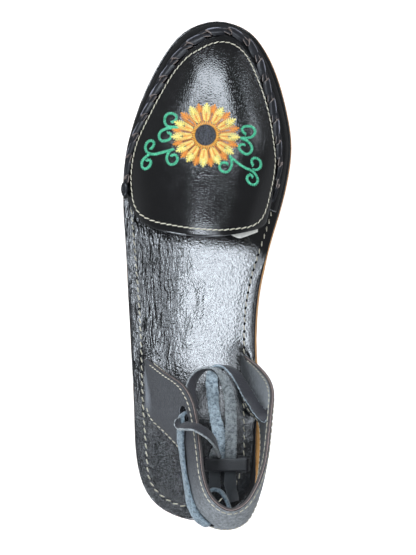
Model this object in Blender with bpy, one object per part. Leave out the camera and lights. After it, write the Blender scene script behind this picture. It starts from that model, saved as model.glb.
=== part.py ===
"""A left sandal in black leather: tan sole, footbed, hollow vamp with a braided seam, heel strap and laces.

Frame: metres, +Z up, toe towards +Y, the inner (medial) side towards +X, origin under the middle.
Every size below is in millimetres and becomes metres where a mesh is made.
"""
import math

import bmesh
import bpy
import numpy as np
from mathutils import Matrix

MM = 0.001
GAP = 0.3
MERGE = 0.01
CURVE_STEPS = 12

# Plan of the sole from heel to toe: y along the shoe, then x of the outer and of the inner edge.
HEEL_TIP = (-3.5, -124.3)
TOE_TIP = (5.0, 125.3)
OUTLINE = (
    # y, outer x, inner x
    (-121.0, -17.4, 9.0),
    (-115.5, -26.0, 18.5),
    (-107.0, -31.5, 24.0),
    (-95.0, -34.8, 26.2),
    (-79.0, -36.0, 26.7),
    (-56.0, -37.0, 25.0),
    (-32.0, -38.3, 24.0),
    (-8.0, -39.8, 26.0),
    (16.0, -41.3, 32.0),
    (32.0, -42.2, 36.8),
    (48.0, -42.2, 40.5),
    (64.0, -40.0, 42.0),
    (84.0, -34.0, 38.8),
    (100.0, -26.5, 34.0),
    (112.0, -19.0, 28.0),
    (120.5, -10.5, 20.5),
)
RING_STEPS = 32
LINES_ACROSS = 4

# Sole seen from the side: flat under the heel and the forefoot, toe spring in front.
SOLE_PROFILE = (
    # y, underside z, upper side z
    (-126.0, 0.0, 12.4),
    (-70.0, 0.0, 11.8),
    (-20.0, 0.0, 8.6),
    (20.0, 0.0, 7.2),
    (72.0, 0.0, 7.0),
    (100.0, 2.2, 8.8),
    (128.0, 6.0, 12.2),
)
SOLE_EDGE_ROUND = 0.8
HEEL_BREAST_Y = -66.0
BALL_BACK_Y = 14.0
ARCH_RISE = 4.2
ARCH_STEPS = 10
ARCH_CUTTER_SIDE = 60.0
ARCH_CUTTER_LOW = -5.0

FOOTBED_THICK = 3.0
FOOTBED_EDGE_ROUND = 0.7
FOOTBED_INSET = 0.4
FOOTBED_HEEL_INSET = 2.4
FOOTBED_HEEL_BACK_Y = -106.0
FOOTBED_HEEL_FRONT_Y = -66.0
FOOTBED_HEEL_STEEP = 1.6

# Form that trims what stands on the footbed: how far it reaches out and down.
FLOOR_CUTTER_OUT = 12.0
FLOOR_CUTTER_LOW = -20.0

# Side wall of the vamp from its foot (level 0) to the seam (level 1): inset from the sole's edge
# and height over the footbed, along the sides and round the toe.
VAMP_THICK = 2.0
WALL = (
    # level, inset at side, inset at toe, height at side, height at toe
    (0.00, 1.8, 2.0, -1.5, -1.5),
    (0.35, 1.1, 2.4, 7.0, 6.0),
    (0.70, 1.9, 4.8, 14.0, 11.5),
    (1.00, 4.4, 8.4, 19.5, 15.5),
)
TOE_START_Y = 60.0
TOE_FULL_Y = 118.0
VAMP_END_OUTER_Y = 35.0
VAMP_END_INNER_Y = 29.0
VAMP_ALONG = 22
VAMP_LEVELS = (0.0, 0.35, 0.7, 0.82, 0.91, 1.0, 1.04, 1.08, 1.16, 1.27, 1.4, 1.55, 1.7, 1.85, 2.0)

# Top plug of the vamp between the seam (level 1) and the spine (level 2).
SPINE_FRONT = (3.5, 78.0)
SPINE_BACK = (4.0, 17.0)
PLUG_ROUND_TOE = 3.2
PLUG_ROUND_THROAT = 2.4
THROAT_SOFT = 0.42
THROAT_OUTER_CORNER = 8
THROAT_INNER_CORNER = 24
CROWN = (
    # y, height over the footbed
    (10.0, 42.5),
    (30.0, 41.0),
    (50.0, 38.3),
    (75.0, 33.8),
    (100.0, 28.5),
    (125.0, 23.5),
)

# Thong lacing over the seam: one band with slanted strips.
BRAID_ALONG = 72
BRAID_LEVELS = (0.82, 0.91, 1.0, 1.04, 1.08)
BRAID_SKIP_OUTER = 7
BRAID_SKIP_INNER = 1
BRAID_EDGE = 0.5
BRAID_RISE = 2.0
BRAID_VALLEY = 0.55
BRAID_STEPS_PER_STRIP = 6
BRAID_SLANT = 0.35
KNOT_RAIL_STEP = 3
KNOT_RADIUS = 1.5
KNOT_TUBE = 1.0
KNOT_OVAL = 1.5
KNOT_SIDES = 8
KNOT_STEPS = 18

# Heel strap from its outer front end round the heel to its inner front end: place of the lower
# and of the upper edge, z over the footbed.
STRAP_THICK = 2.0
STRAP_BULGE = 1.2
STRAP = (
    # lower x, y, z, upper x, y, z
    (-31.0, -43.5, -2.0, -30.0, -43.0, 3.5),
    (-31.0, -52.0, -2.0, -20.0, -49.0, 22.0),
    (-30.8, -61.5, -2.0, -10.0, -54.5, 36.0),
    (-29.0, -70.0, 1.5, -5.3, -61.0, 42.0),
    (-20.0, -78.5, 9.0, -2.7, -70.5, 45.0),
    (-11.5, -88.5, 14.0, -1.0, -84.0, 46.0),
    (-8.2, -102.5, 16.0, 0.6, -97.0, 46.0),
    (-4.5, -117.0, 16.5, 4.0, -106.5, 45.0),
    (1.8, -124.2, 16.5, 9.4, -112.0, 44.5),
    (10.8, -126.2, 16.5, 15.3, -113.8, 44.0),
    (19.6, -123.2, 16.5, 21.8, -110.3, 44.5),
    (25.3, -113.5, 13.5, 27.0, -102.5, 45.0),
    (28.0, -98.0, 6.5, 31.3, -90.5, 46.0),
    (28.6, -83.0, 1.5, 33.3, -76.0, 46.0),
    (27.2, -73.5, 0.8, 34.3, -66.0, 45.0),
    (22.0, -68.5, 0.5, 34.8, -58.0, 40.0),
    (19.0, -61.5, -2.0, 32.8, -52.0, 32.0),
    (18.9, -51.5, -2.0, 27.2, -46.0, 20.0),
    (18.4, -41.5, -2.0, 19.2, -41.0, 3.5),
)
STRAP_STEPS_PER_ROW = 3
STRAP_CURVE_STEPS = 20
STRAP_LEVELS = (0.0, 0.25, 0.5, 0.75, 1.0)

# Openings in the strap for the laces: row number in STRAP, share of the height, length along, height.
OUTER_SLIT = (3.6, 0.79, 9.0, 6.5)
INNER_SLIT = (13.8, 0.72, 9.0, 3.4)
BACK_HOLE = (7.95, 0.17, 6.0, 4.5)
SLIT_DEPTH = 14.0

# Flat leather laces. Route rows give a place and the roll of the lace's width out of level.
LACE_WIDTH = 6.0
LACE_THICK = 1.6
LACE_STEP = 3.2
RUN_ROUTE = (
    # row number in STRAP, share of the height
    (7.65, 0.20),
    (7.3, 0.19),
    (6.8, 0.18),
    (6.2, 0.18),
    (5.6, 0.20),
    (5.0, 0.32),
    (4.5, 0.50),
    (4.15, 0.64),
)
OVER_ROUTE = (
    # x, y, z, roll
    (-11.1, -73.1, 52.8, 246.0),
    (-9.3, -73.4, 57.2, 243.0),
    (-5.9, -73.3, 62.0, 241.0),
    (-1.7, -73.7, 64.5, 240.0),
    (1.9, -75.7, 63.4, 240.0),
    (4.6, -78.7, 57.6, 250.0),
    (6.3, -82.3, 48.0, 268.0),
    (6.5, -85.6, 37.5, 290.0),
    (5.9, -88.4, 27.8, 318.0),
    (5.0, -90.0, 21.4, 350.0),
    (4.5, -92.8, 20.1, 360.0),
    (4.4, -97.5, 20.0, 360.0),
    (4.4, -102.0, 19.8, 360.0),
    (4.5, -107.5, 19.3, 360.0),
)
LATERAL_ROUTE = (
    # x, y, z, roll
    (-4.0, -66.0, 48.6, 140.0),
    (-5.6, -58.5, 46.0, 140.0),
    (-5.2, -53.5, 43.0, 136.0),
    (-2.6, -49.6, 39.0, 124.0),
    (2.0, -47.3, 35.0, 100.0),
    (6.4, -48.8, 32.0, 75.0),
    (9.9, -53.8, 28.5, 45.0),
    (12.0, -61.0, 25.0, 22.0),
    (12.7, -71.0, 22.4, 8.0),
    (12.6, -83.3, 21.0, 0.0),
    (12.4, -92.0, 20.3, 0.0),
    (12.2, -99.0, 20.0, 0.0),
    (12.2, -105.5, 19.9, 18.0),
    (14.2, -113.5, 20.5, 50.0),
)
MEDIAL_ROUTE = (
    # x, y, z, roll
    (27.7, -67.8, 45.2, 150.0),
    (22.6, -61.0, 39.0, 148.0),
    (18.9, -55.6, 32.0, 142.0),
    (14.7, -50.0, 25.0, 125.0),
    (10.0, -47.0, 20.5, 95.0),
    (5.5, -47.4, 19.0, 62.0),
    (3.0, -51.6, 18.0, 25.0),
    (3.3, -60.0, 17.6, 6.0),
    (4.2, -69.0, 17.8, 0.0),
    (6.0, -78.0, 17.9, 0.0),
    (8.2, -87.0, 17.9, 0.0),
    (9.2, -93.0, 17.9, 0.0),
    (9.4, -99.0, 17.8, 0.0),
    (10.8, -103.0, 17.7, 0.0),
)
BACK_ROUTE = (
    # x, y, z, roll
    (2.7, -117.8, 35.8, 85.0),
    (1.6, -112.0, 35.5, 88.0),
    (1.6, -108.4, 35.4, 88.0),
    (4.2, -106.2, 35.4, 88.0),
    (7.8, -106.8, 35.6, 88.0),
    (10.6, -110.4, 36.0, 88.0),
    (12.6, -115.5, 36.4, 88.0),
    (13.3, -121.1, 36.9, 88.0),
)

# Leather ring that holds the folded laces on the footbed.
KEEPER_X = 10.6
KEEPER_Y = -95.3
KEEPER_LENGTH = 6.2
KEEPER_WIDTH = 22.0
KEEPER_HEIGHT = 7.0
KEEPER_THICK = 1.1
KEEPER_CORNER = 2.2
KEEPER_STEPS = 3


def remove_everything():
    """Empty the scene."""
    for item in list(bpy.data.objects):
        bpy.data.objects.remove(item, do_unlink=True)


def material(name, colour, roughness):
    """A Principled material with a plain colour."""
    finish = bpy.data.materials.new(name)
    finish.use_nodes = True
    shader = finish.node_tree.nodes["Principled BSDF"]
    shader.inputs["Base Color"].default_value = (*colour, 1.0)
    shader.inputs["Roughness"].default_value = roughness
    shader.inputs["Metallic"].default_value = 0.0
    return finish


def new_object(name, points, faces, finish=None, closed=True):
    """An object from points in millimetres, with its faces turned out if it is closed."""
    mesh = bpy.data.meshes.new(name)
    mesh.from_pydata([[MM * float(value) for value in point] for point in points], [], faces)
    form = bmesh.new()
    form.from_mesh(mesh)
    bmesh.ops.remove_doubles(form, verts=form.verts, dist=MERGE * MM)
    if closed:
        bmesh.ops.recalc_face_normals(form, faces=form.faces)
    form.to_mesh(mesh)
    form.free()
    mesh.shade_smooth()
    body = bpy.data.objects.new(name, mesh)
    bpy.context.collection.objects.link(body)
    if finish:
        mesh.materials.append(finish)
        body.parent = sandal
    return body


def cut(body, cutter):
    """Take the cutter's form out of the body."""
    cutter.hide_render = True
    cutter.display_type = "WIRE"
    step = body.modifiers.new("cut by " + cutter.name, "BOOLEAN")
    step.operation = "DIFFERENCE"
    step.object = cutter


def thicken(body, thickness):
    """Give a sheet its leather thickness, to its inner side."""
    step = body.modifiers.new("leather", "SOLIDIFY")
    step.thickness = thickness * MM
    step.offset = -1.0
    step.use_even_offset = True


def ease(value):
    """Smooth rise from 0 to 1."""
    value = np.clip(value, 0.0, 1.0)
    return value * value * (3.0 - 2.0 * value)


def blend(table, key):
    """The row of a table at a key between its rows, without overshoot."""
    rows = np.array(table, dtype=float)
    keys, values = rows[:, 0], rows[:, 1:]
    key = min(max(key, keys[0]), keys[-1])
    index = int(min(np.searchsorted(keys, key, side="right") - 1, len(keys) - 2))
    secants = np.diff(values, axis=0) / np.diff(keys)[:, None]

    def slope(i):
        if i == 0:
            return secants[0]
        if i == len(keys) - 1:
            return secants[-1]
        before, after = secants[i - 1], secants[i]
        product = before * after
        total = np.where(product > 0.0, before + after, 1.0)
        return np.where(product > 0.0, 2.0 * product / total, 0.0)

    span = keys[index + 1] - keys[index]
    t = (key - keys[index]) / span
    return ((2 * t**3 - 3 * t**2 + 1) * values[index] + (t**3 - 2 * t**2 + t) * span * slope(index)
            + (3 * t**2 - 2 * t**3) * values[index + 1] + (t**3 - t**2) * span * slope(index + 1))


def spline(rows, steps, closed=False):
    """Points on a smooth curve through the rows (centripetal Catmull-Rom)."""
    rows = np.array(rows, dtype=float)
    count = len(rows)
    line = []
    for i in range(count if closed else count - 1):
        second, third = rows[i], rows[(i + 1) % count]
        first = rows[i - 1] if closed or i else 2 * second - third
        fourth = rows[(i + 2) % count] if closed or i + 2 < count else 2 * third - second
        one, two, three = (math.sqrt(np.linalg.norm(b - a))
                           for a, b in ((first, second), (second, third), (third, fourth)))
        leave = two * ((second - first) / one - (third - first) / (one + two) + (third - second) / two)
        reach = two * ((third - second) / two - (fourth - second) / (two + three) + (fourth - third) / three)
        for step in range(steps):
            t = step / steps
            line.append((2 * t**3 - 3 * t**2 + 1) * second + (t**3 - 2 * t**2 + t) * leave
                        + (3 * t**2 - 2 * t**3) * third + (t**3 - t**2) * reach)
    if not closed:
        line.append(rows[-1])
    return np.array(line)


def even(line, count, axes):
    """The line's points at equal lengths, measured in its first axes."""
    steps = np.linalg.norm(np.diff(line[:, :axes], axis=0), axis=1)
    lengths = np.concatenate(([0.0], np.cumsum(steps)))
    places = np.linspace(0.0, lengths[-1], count + 1)
    return np.array([np.interp(places, lengths, column) for column in line.T]).T


def outline_sides():
    """Outer side from heel tip to toe tip and inner side back, each row x, y and the inward normal."""
    outer = [(row[1], row[0]) for row in OUTLINE]
    inner = [(row[2], row[0]) for row in reversed(OUTLINE)]
    loop = spline([HEEL_TIP, *outer, TOE_TIP, *inner], CURVE_STEPS, closed=True)
    ahead = np.roll(loop, -1, axis=0) - np.roll(loop, 1, axis=0)
    ahead /= np.linalg.norm(ahead, axis=1)[:, None]
    rows = np.column_stack((loop, ahead[:, 1], -ahead[:, 0]))
    toe = CURVE_STEPS * (len(outer) + 1)
    return rows[:toe + 1], np.vstack((rows[toe:], rows[:1]))


def sole_heights(y):
    """Underside and upper side of the sole at y."""
    return blend(SOLE_PROFILE, y)


def deck(y):
    """Upper side of the footbed at y."""
    return sole_heights(y)[1] + GAP + FOOTBED_THICK


def plan_ring(inset, height):
    """A ring round the shoe: heel tip, outer side, toe tip, inner side."""
    outer, inner = (even(side, RING_STEPS, 2) for side in outline_sides())
    ring = []
    for x, y, nx, ny in np.vstack((outer[:-1], inner[:-1])):
        distance = inset(x, y)
        place = (x + nx * distance, y + ny * distance)
        ring.append((*place, height(place[1])))
    return ring


def slab(name, rings, finish=None):
    """A closed solid from rings stacked upwards, with its two ends filled by lines across the shoe."""
    count = len(rings[0])
    points = [point for ring in rings for point in ring]
    faces = []
    for level in range(len(rings) - 1):
        for j in range(count):
            a, b = level * count + j, level * count + (j + 1) % count
            faces.append((a, b, b + count, a + count))
    for level in (0, len(rings) - 1):
        lines = []
        for j in range(RING_STEPS + 1):
            outer, inner = level * count + j, level * count + (-j) % count
            if outer == inner:
                lines.append([outer] * (LINES_ACROSS + 1))
                continue
            middle = [len(points) + k for k in range(LINES_ACROSS - 1)]
            for k in range(1, LINES_ACROSS):
                share = k / LINES_ACROSS
                start, end = np.array(points[outer]), np.array(points[inner])
                points.append(tuple(start + (end - start) * share))
            lines.append([outer, *middle, inner])
        for near, far in zip(lines, lines[1:]):
            for k in range(LINES_ACROSS):
                face = [near[k], near[k + 1], far[k + 1], far[k]]
                faces.append(tuple(dict.fromkeys(face)))
    return new_object(name, points, faces, finish)


def build_sole():
    """Tan sole with rounded edges, its arch cut out between heel breast and ball."""
    def at(inset, lift, upper):
        return plan_ring(lambda x, y: inset, lambda y: sole_heights(y)[upper] + lift)

    sole = slab("sole", [at(SOLE_EDGE_ROUND, 0.0, 0), at(0.0, SOLE_EDGE_ROUND, 0),
                         at(0.0, -SOLE_EDGE_ROUND, 1), at(SOLE_EDGE_ROUND, 0.0, 1)],
                material("tan sole", (0.62, 0.36, 0.13), 0.55))
    profile = [(BALL_BACK_Y, ARCH_CUTTER_LOW), (HEEL_BREAST_Y, ARCH_CUTTER_LOW)]
    for k in range(ARCH_STEPS + 1):
        share = k / ARCH_STEPS
        profile.append((HEEL_BREAST_Y + (BALL_BACK_Y - HEEL_BREAST_Y) * share,
                        ARCH_RISE * math.cos(0.5 * math.pi * share)))
    count = len(profile)
    points = [(x, *place) for x in (-ARCH_CUTTER_SIDE, ARCH_CUTTER_SIDE) for place in profile]
    faces = [tuple(range(count)), tuple(range(count, 2 * count))]
    for j in range(count):
        k = (j + 1) % count
        faces.append((j, k, k + count, j + count))
    cut(sole, new_object("arch_cutter", points, faces))


def footbed_inset(x, y):
    """The footbed follows the sole's edge, and draws back from it on the inner side of the heel."""
    if x < 0.0:
        return FOOTBED_INSET
    middle = 0.5 * (FOOTBED_HEEL_BACK_Y + FOOTBED_HEEL_FRONT_Y)
    reach = 0.5 * (FOOTBED_HEEL_FRONT_Y - FOOTBED_HEEL_BACK_Y)
    near = ease(FOOTBED_HEEL_STEEP * (1.0 - abs(y - middle) / reach))
    return FOOTBED_INSET + (FOOTBED_HEEL_INSET - FOOTBED_INSET) * near


def build_footbed():
    """Leather insole on the sole."""
    def at(extra, lift):
        return plan_ring(lambda x, y: footbed_inset(x, y) + extra, lambda y: sole_heights(y)[1] + lift)

    low, high = GAP, GAP + FOOTBED_THICK
    slab("footbed", [at(0.0, low), at(0.0, high - FOOTBED_EDGE_ROUND), at(FOOTBED_EDGE_ROUND, high)],
         material("black footbed leather", (0.012, 0.012, 0.013), 0.32))


def build_floor_cutter():
    """Everything up to just over the footbed, to trim what stands on it."""
    def at(height):
        return plan_ring(lambda x, y: -FLOOR_CUTTER_OUT, height)

    return slab("floor_cutter", [at(lambda y: FLOOR_CUTTER_LOW), at(lambda y: deck(y) + GAP)])


def vamp_rail(along):
    """The sole's edge from the vamp's outer end round the toe to its inner end."""
    outer, inner = outline_sides()
    outer = even(outer[outer[:, 1] >= VAMP_END_OUTER_Y], along, 2)
    inner = even(inner[inner[:, 1] >= VAMP_END_INNER_Y], along, 2)
    return np.vstack((outer, inner[1:]))


def vamp_wall(rail, level):
    """The wall's points at one level."""
    side_inset, toe_inset, side_rise, toe_rise = blend(WALL, level)
    toe = ease((rail[:, 1] - TOE_START_Y) / (TOE_FULL_Y - TOE_START_Y))
    inset = side_inset + (toe_inset - side_inset) * toe
    x, y = rail[:, 0] + rail[:, 2] * inset, rail[:, 1] + rail[:, 3] * inset
    return x, y, side_rise + (toe_rise - side_rise) * toe


def vamp_grid(along, levels):
    """Outer surface of the vamp: rows from foot to spine, each from the outer end round the toe."""
    rail = vamp_rail(along)
    seam_x, seam_y, seam_rise = vamp_wall(rail, 1.0)
    front = seam_y[along]
    outer = np.arange(len(rail)) <= along
    ends = np.where(outer, seam_y[0], seam_y[-1])
    share = (front - seam_y) / (front - ends)
    spine_share = 0.5 * (share + share[::-1])
    corner = np.where(outer, THROAT_OUTER_CORNER, THROAT_INNER_CORNER)
    plug_round = PLUG_ROUND_TOE + (PLUG_ROUND_THROAT - PLUG_ROUND_TOE) * share
    grid = []
    for level in levels:
        if level <= 1.0:
            x, y, rise = vamp_wall(rail, level)
        else:
            inward = level - 1.0
            out = 1.0 - inward
            near = front + (SPINE_FRONT[1] - front) * inward
            bow = THROAT_SOFT * out**2 + (1.0 - THROAT_SOFT) * out**corner
            far = SPINE_BACK[1] + (ends - SPINE_BACK[1]) * bow
            y = near + (far - near) * (share + (spine_share - share) * inward)
            spine_x = SPINE_FRONT[0] + (SPINE_BACK[0] - SPINE_FRONT[0]) * spine_share
            x = seam_x * out + spine_x * inward
            crown = np.array([blend(CROWN, value)[0] for value in y])
            rise = seam_rise + (crown - seam_rise) * (1.0 - out**plug_round)
        height = np.array([deck(value) for value in y]) + rise
        grid.append(np.column_stack((x, y, height)))
    return np.array(grid)


def grid_faces(rows, columns):
    """Faces of a sheet whose points lie row by row."""
    return [(r * columns + c, (r + 1) * columns + c, (r + 1) * columns + c + 1, r * columns + c + 1)
            for r in range(rows - 1) for c in range(columns - 1)]


def grid_normals(grid):
    """Unit normals of a sheet of points."""
    across, along = np.gradient(grid, axis=0), np.gradient(grid, axis=1)
    normal = np.cross(across, along)
    return normal / np.linalg.norm(normal, axis=2)[:, :, None]


def build_vamp(floor_cutter):
    """Hollow upper: side wall and plug in one leather thickness, open at the throat and below."""
    grid = vamp_grid(VAMP_ALONG, VAMP_LEVELS)
    rows, columns = grid.shape[:2]
    vamp = new_object("vamp", grid.reshape(-1, 3), grid_faces(rows, columns),
                      material("black vamp leather", (0.010, 0.010, 0.011), 0.25), closed=False)
    thicken(vamp, VAMP_THICK)
    cut(vamp, floor_cutter)


def tube_of_rings(name, rings, finish):
    """A closed solid from section rings along a path, with flat ends."""
    count = len(rings[0])
    points = [point for ring in rings for point in ring]
    last = (len(rings) - 1) * count
    faces = [tuple(range(count)), tuple(range(last, last + count))]
    for r in range(len(rings) - 1):
        for j in range(count):
            a, b = r * count + j, r * count + (j + 1) % count
            faces.append((a, b, b + count, a + count))
    return new_object(name, points, faces, finish)


def build_braid():
    """Thong lacing along the seam, one band with slanted strips, and the knot at its outer end."""
    grid = vamp_grid(BRAID_ALONG, BRAID_LEVELS)
    normals = grid_normals(grid)
    across = len(BRAID_LEVELS)
    finish = material("black thong leather", (0.020, 0.020, 0.022), 0.38)
    rings = []
    for j in range(BRAID_SKIP_OUTER, grid.shape[1] - BRAID_SKIP_INNER):
        under = [grid[k, j] + normals[k, j] * GAP for k in range(across)]
        over = []
        for k in range(across):
            place = k / (across - 1)
            turn = j / BRAID_STEPS_PER_STRIP + BRAID_SLANT * (2.0 * place - 1.0)
            strip = math.sqrt(abs(math.sin(math.pi * turn)))
            full = BRAID_VALLEY + (1.0 - BRAID_VALLEY) * strip
            rise = BRAID_EDGE + BRAID_RISE * math.sin(math.pi * place) * full
            over.append(under[k] + normals[k, j] * rise)
        rings.append(under + over[::-1])
    tube_of_rings("braid", rings, finish)

    centre, normal = grid[across // 2, KNOT_RAIL_STEP], normals[across // 2, KNOT_RAIL_STEP]
    along = grid[across // 2, KNOT_RAIL_STEP + 1] - grid[across // 2, KNOT_RAIL_STEP - 1]
    along /= np.linalg.norm(along)
    side = np.cross(normal, along)
    place = centre + normal * (KNOT_TUBE + 2.0 * GAP)
    form = bmesh.new()
    section = bmesh.ops.create_circle(form, segments=KNOT_SIDES, radius=KNOT_TUBE * MM,
                                      matrix=Matrix.Translation((KNOT_RADIUS * MM, 0.0, 0.0))
                                      @ Matrix.Rotation(0.5 * math.pi, 4, "X"))
    edges = list({edge for vertex in section["verts"] for edge in vertex.link_edges})
    bmesh.ops.spin(form, geom=section["verts"] + edges, cent=(0.0, 0.0, 0.0), axis=(0.0, 0.0, 1.0),
                   angle=2.0 * math.pi, steps=KNOT_STEPS)
    bmesh.ops.remove_doubles(form, verts=form.verts, dist=MERGE * MM)
    bmesh.ops.scale(form, vec=(1.0, KNOT_OVAL, 1.0), verts=form.verts)
    bmesh.ops.recalc_face_normals(form, faces=form.faces)
    mesh = bpy.data.meshes.new("braid_knot")
    form.to_mesh(mesh)
    form.free()
    mesh.shade_smooth()
    mesh.materials.append(finish)
    knot = bpy.data.objects.new("braid_knot", mesh)
    bpy.context.collection.objects.link(knot)
    knot.parent = sandal
    knot.matrix_local = Matrix((
        (side[0], along[0], normal[0], place[0] * MM),
        (side[1], along[1], normal[1], place[1] * MM),
        (side[2], along[2], normal[2], place[2] * MM),
        (0.0, 0.0, 0.0, 1.0),
    ))


def strap_rows():
    """The strap's table with heights over the floor."""
    rows = np.array(STRAP, dtype=float)
    for lower, upper in ((1, 2), (4, 5)):
        rows[:, upper] += np.array([deck(y) for y in rows[:, lower]])
    return rows


def strap_frame(row, share):
    """Place on the strap's outer face, its outward normal and its directions along and up."""
    line = spline(strap_rows(), STRAP_CURVE_STEPS)
    index = min(max(row * STRAP_CURVE_STEPS, 1.0), len(line) - 2.0)
    keys = np.arange(len(line))

    def at(position):
        return np.array([np.interp(position, keys, column) for column in line.T])

    here, before, after = at(index), at(index - 1.0), at(index + 1.0)
    up = here[3:] - here[:3]
    up /= np.linalg.norm(up)
    along = (after - before)[:3] * (1.0 - share) + (after - before)[3:] * share
    along /= np.linalg.norm(along)
    normal = np.cross(along, up)
    normal /= np.linalg.norm(normal)
    bulge = STRAP_BULGE * 4.0 * share * (1.0 - share)
    return here[:3] + (here[3:] - here[:3]) * share + normal * bulge, normal, along, up


def box_cutter(name, opening):
    """A box across the strap at one of its lace openings."""
    row, share, length, height = opening
    place, normal, along, _ = strap_frame(row, share)
    up = np.cross(normal, along)
    points = [place + along * (0.5 * length * a) + up * (0.5 * height * b) + normal * (0.5 * SLIT_DEPTH * c)
              for a in (-1, 1) for b in (-1, 1) for c in (-1, 1)]
    faces = [(0, 1, 3, 2), (4, 6, 7, 5), (0, 4, 5, 1), (2, 3, 7, 6), (0, 2, 6, 4), (1, 5, 7, 3)]
    return new_object(name, points, faces)


def build_strap(floor_cutter):
    """Two-layer strap round the heel, standing on the footbed at both front ends."""
    rows = (len(STRAP) - 1) * STRAP_STEPS_PER_ROW + 1
    columns = len(STRAP_LEVELS)
    points = [strap_frame(row / STRAP_STEPS_PER_ROW, share)[0]
              for row in range(rows) for share in STRAP_LEVELS]
    strap = new_object("heel_strap", points, grid_faces(rows, columns),
                       material("black strap leather", (0.022, 0.022, 0.024), 0.45), closed=False)
    thicken(strap, STRAP_THICK)
    cut(strap, floor_cutter)
    for name, opening in (("outer_slit", OUTER_SLIT), ("inner_slit", INNER_SLIT), ("back_hole", BACK_HOLE)):
        cut(strap, box_cutter(name + "_cutter", opening))


def lace(name, places, widths, finish):
    """A flat lace through places, with the direction of its width at each of them."""
    line = spline(np.hstack((places, widths)), CURVE_STEPS)
    length = np.sum(np.linalg.norm(np.diff(line[:, :3], axis=0), axis=1))
    line = even(line, round(length / LACE_STEP), 3)
    rings = []
    for row, tangent in zip(line, np.gradient(line[:, :3], axis=0)):
        tangent /= np.linalg.norm(tangent)
        face = np.cross(row[3:], tangent)
        face *= 0.5 * LACE_THICK / np.linalg.norm(face)
        side = np.cross(tangent, face)
        side *= 0.5 * LACE_WIDTH / np.linalg.norm(side)
        rings.append([row[:3] + a * side + b * face for a, b in ((-1, -1), (1, -1), (1, 1), (-1, 1))])
    tube_of_rings(name, rings, finish)


def rolled_widths(route):
    """Width directions of a route: level where the roll is 0, upright where it is 90 degrees."""
    widths = []
    for row, tangent in zip(route, np.gradient(route[:, :3], axis=0)):
        tangent /= np.linalg.norm(tangent)
        level = np.cross(tangent, (0.0, 0.0, 1.0))
        level /= np.linalg.norm(level)
        roll = math.radians(row[3])
        widths.append(math.cos(roll) * level + math.sin(roll) * np.cross(level, tangent))
    return np.array(widths)


def build_laces():
    """Flat thongs: a run outside the strap, one over its edge, two loops and a run inside the back."""
    finish = material("grey lace leather", (0.090, 0.095, 0.110), 0.70)
    lift = 0.5 * LACE_THICK + 2.0 * GAP
    frames = [strap_frame(row, share) for row, share in RUN_ROUTE]
    lace("lace_run", [place + normal * lift for place, normal, _, _ in frames],
         [up for _, _, _, up in frames], finish)
    for name, table in (("lace_over", OVER_ROUTE), ("lace_lateral", LATERAL_ROUTE),
                        ("lace_medial", MEDIAL_ROUTE), ("lace_back", BACK_ROUTE)):
        route = np.array(table)
        lace(name, route[:, :3], rolled_widths(route), finish)


def rounded_ring(half_width, half_height, corner):
    """A rectangle with round corners in the X-Z plane."""
    ring = []
    for x, z, start in ((1, 1, 0.0), (-1, 1, 0.5), (-1, -1, 1.0), (1, -1, 1.5)):
        for k in range(KEEPER_STEPS + 1):
            turn = math.pi * (start + 0.5 * k / KEEPER_STEPS)
            ring.append((x * (half_width - corner) + corner * math.cos(turn),
                         z * (half_height - corner) + corner * math.sin(turn)))
    return ring


def build_keeper():
    """Leather ring round the folded laces."""
    centre_z = deck(KEEPER_Y) + GAP + 0.5 * KEEPER_HEIGHT
    outer = rounded_ring(0.5 * KEEPER_WIDTH, 0.5 * KEEPER_HEIGHT, KEEPER_CORNER)
    inner = rounded_ring(0.5 * KEEPER_WIDTH - KEEPER_THICK, 0.5 * KEEPER_HEIGHT - KEEPER_THICK,
                         KEEPER_CORNER - KEEPER_THICK)
    count = len(outer)
    rims = ((outer, -1.0), (outer, 1.0), (inner, 1.0), (inner, -1.0))
    points, faces = [], []
    for rim, (ring, end) in enumerate(rims):
        points += [(KEEPER_X + x, KEEPER_Y + 0.5 * KEEPER_LENGTH * end, centre_z + z) for x, z in ring]
        here, there = rim * count, (rim + 1) % len(rims) * count
        for j in range(count):
            k = (j + 1) % count
            faces.append((here + j, here + k, there + k, there + j))
    new_object("lace_keeper", points, faces, material("black keeper leather", (0.014, 0.014, 0.015), 0.4))


remove_everything()
sandal = bpy.data.objects.new("sandal", None)
bpy.context.collection.objects.link(sandal)
build_sole()
build_footbed()
floor = build_floor_cutter()
build_vamp(floor)
build_braid()
build_strap(floor)
build_laces()
build_keeper()
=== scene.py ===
"""Looks of a left sandal in black leather, with a sewn flower on its vamp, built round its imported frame.

Metres, +Z up, toe towards +Y, inner side of the foot towards +X. Sizes are written in millimetres.
Seams and embroidery are placed by pixels of the photograph, which is 416 wide and 555 high.
"""
import math

import bpy
import numpy as np
from mathutils import Matrix, Vector


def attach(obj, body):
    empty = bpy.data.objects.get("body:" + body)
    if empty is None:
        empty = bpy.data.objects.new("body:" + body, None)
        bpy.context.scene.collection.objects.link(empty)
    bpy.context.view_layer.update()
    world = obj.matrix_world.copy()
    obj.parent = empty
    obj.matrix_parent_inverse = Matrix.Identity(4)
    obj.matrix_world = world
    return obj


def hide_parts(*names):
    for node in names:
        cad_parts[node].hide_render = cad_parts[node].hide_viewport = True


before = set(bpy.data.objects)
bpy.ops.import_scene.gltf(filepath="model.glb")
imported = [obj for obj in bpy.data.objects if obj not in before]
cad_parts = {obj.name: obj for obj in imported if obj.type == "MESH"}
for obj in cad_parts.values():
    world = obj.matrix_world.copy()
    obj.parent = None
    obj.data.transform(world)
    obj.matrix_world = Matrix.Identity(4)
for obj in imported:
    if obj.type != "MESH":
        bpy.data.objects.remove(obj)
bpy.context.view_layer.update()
MM = 0.001

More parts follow.
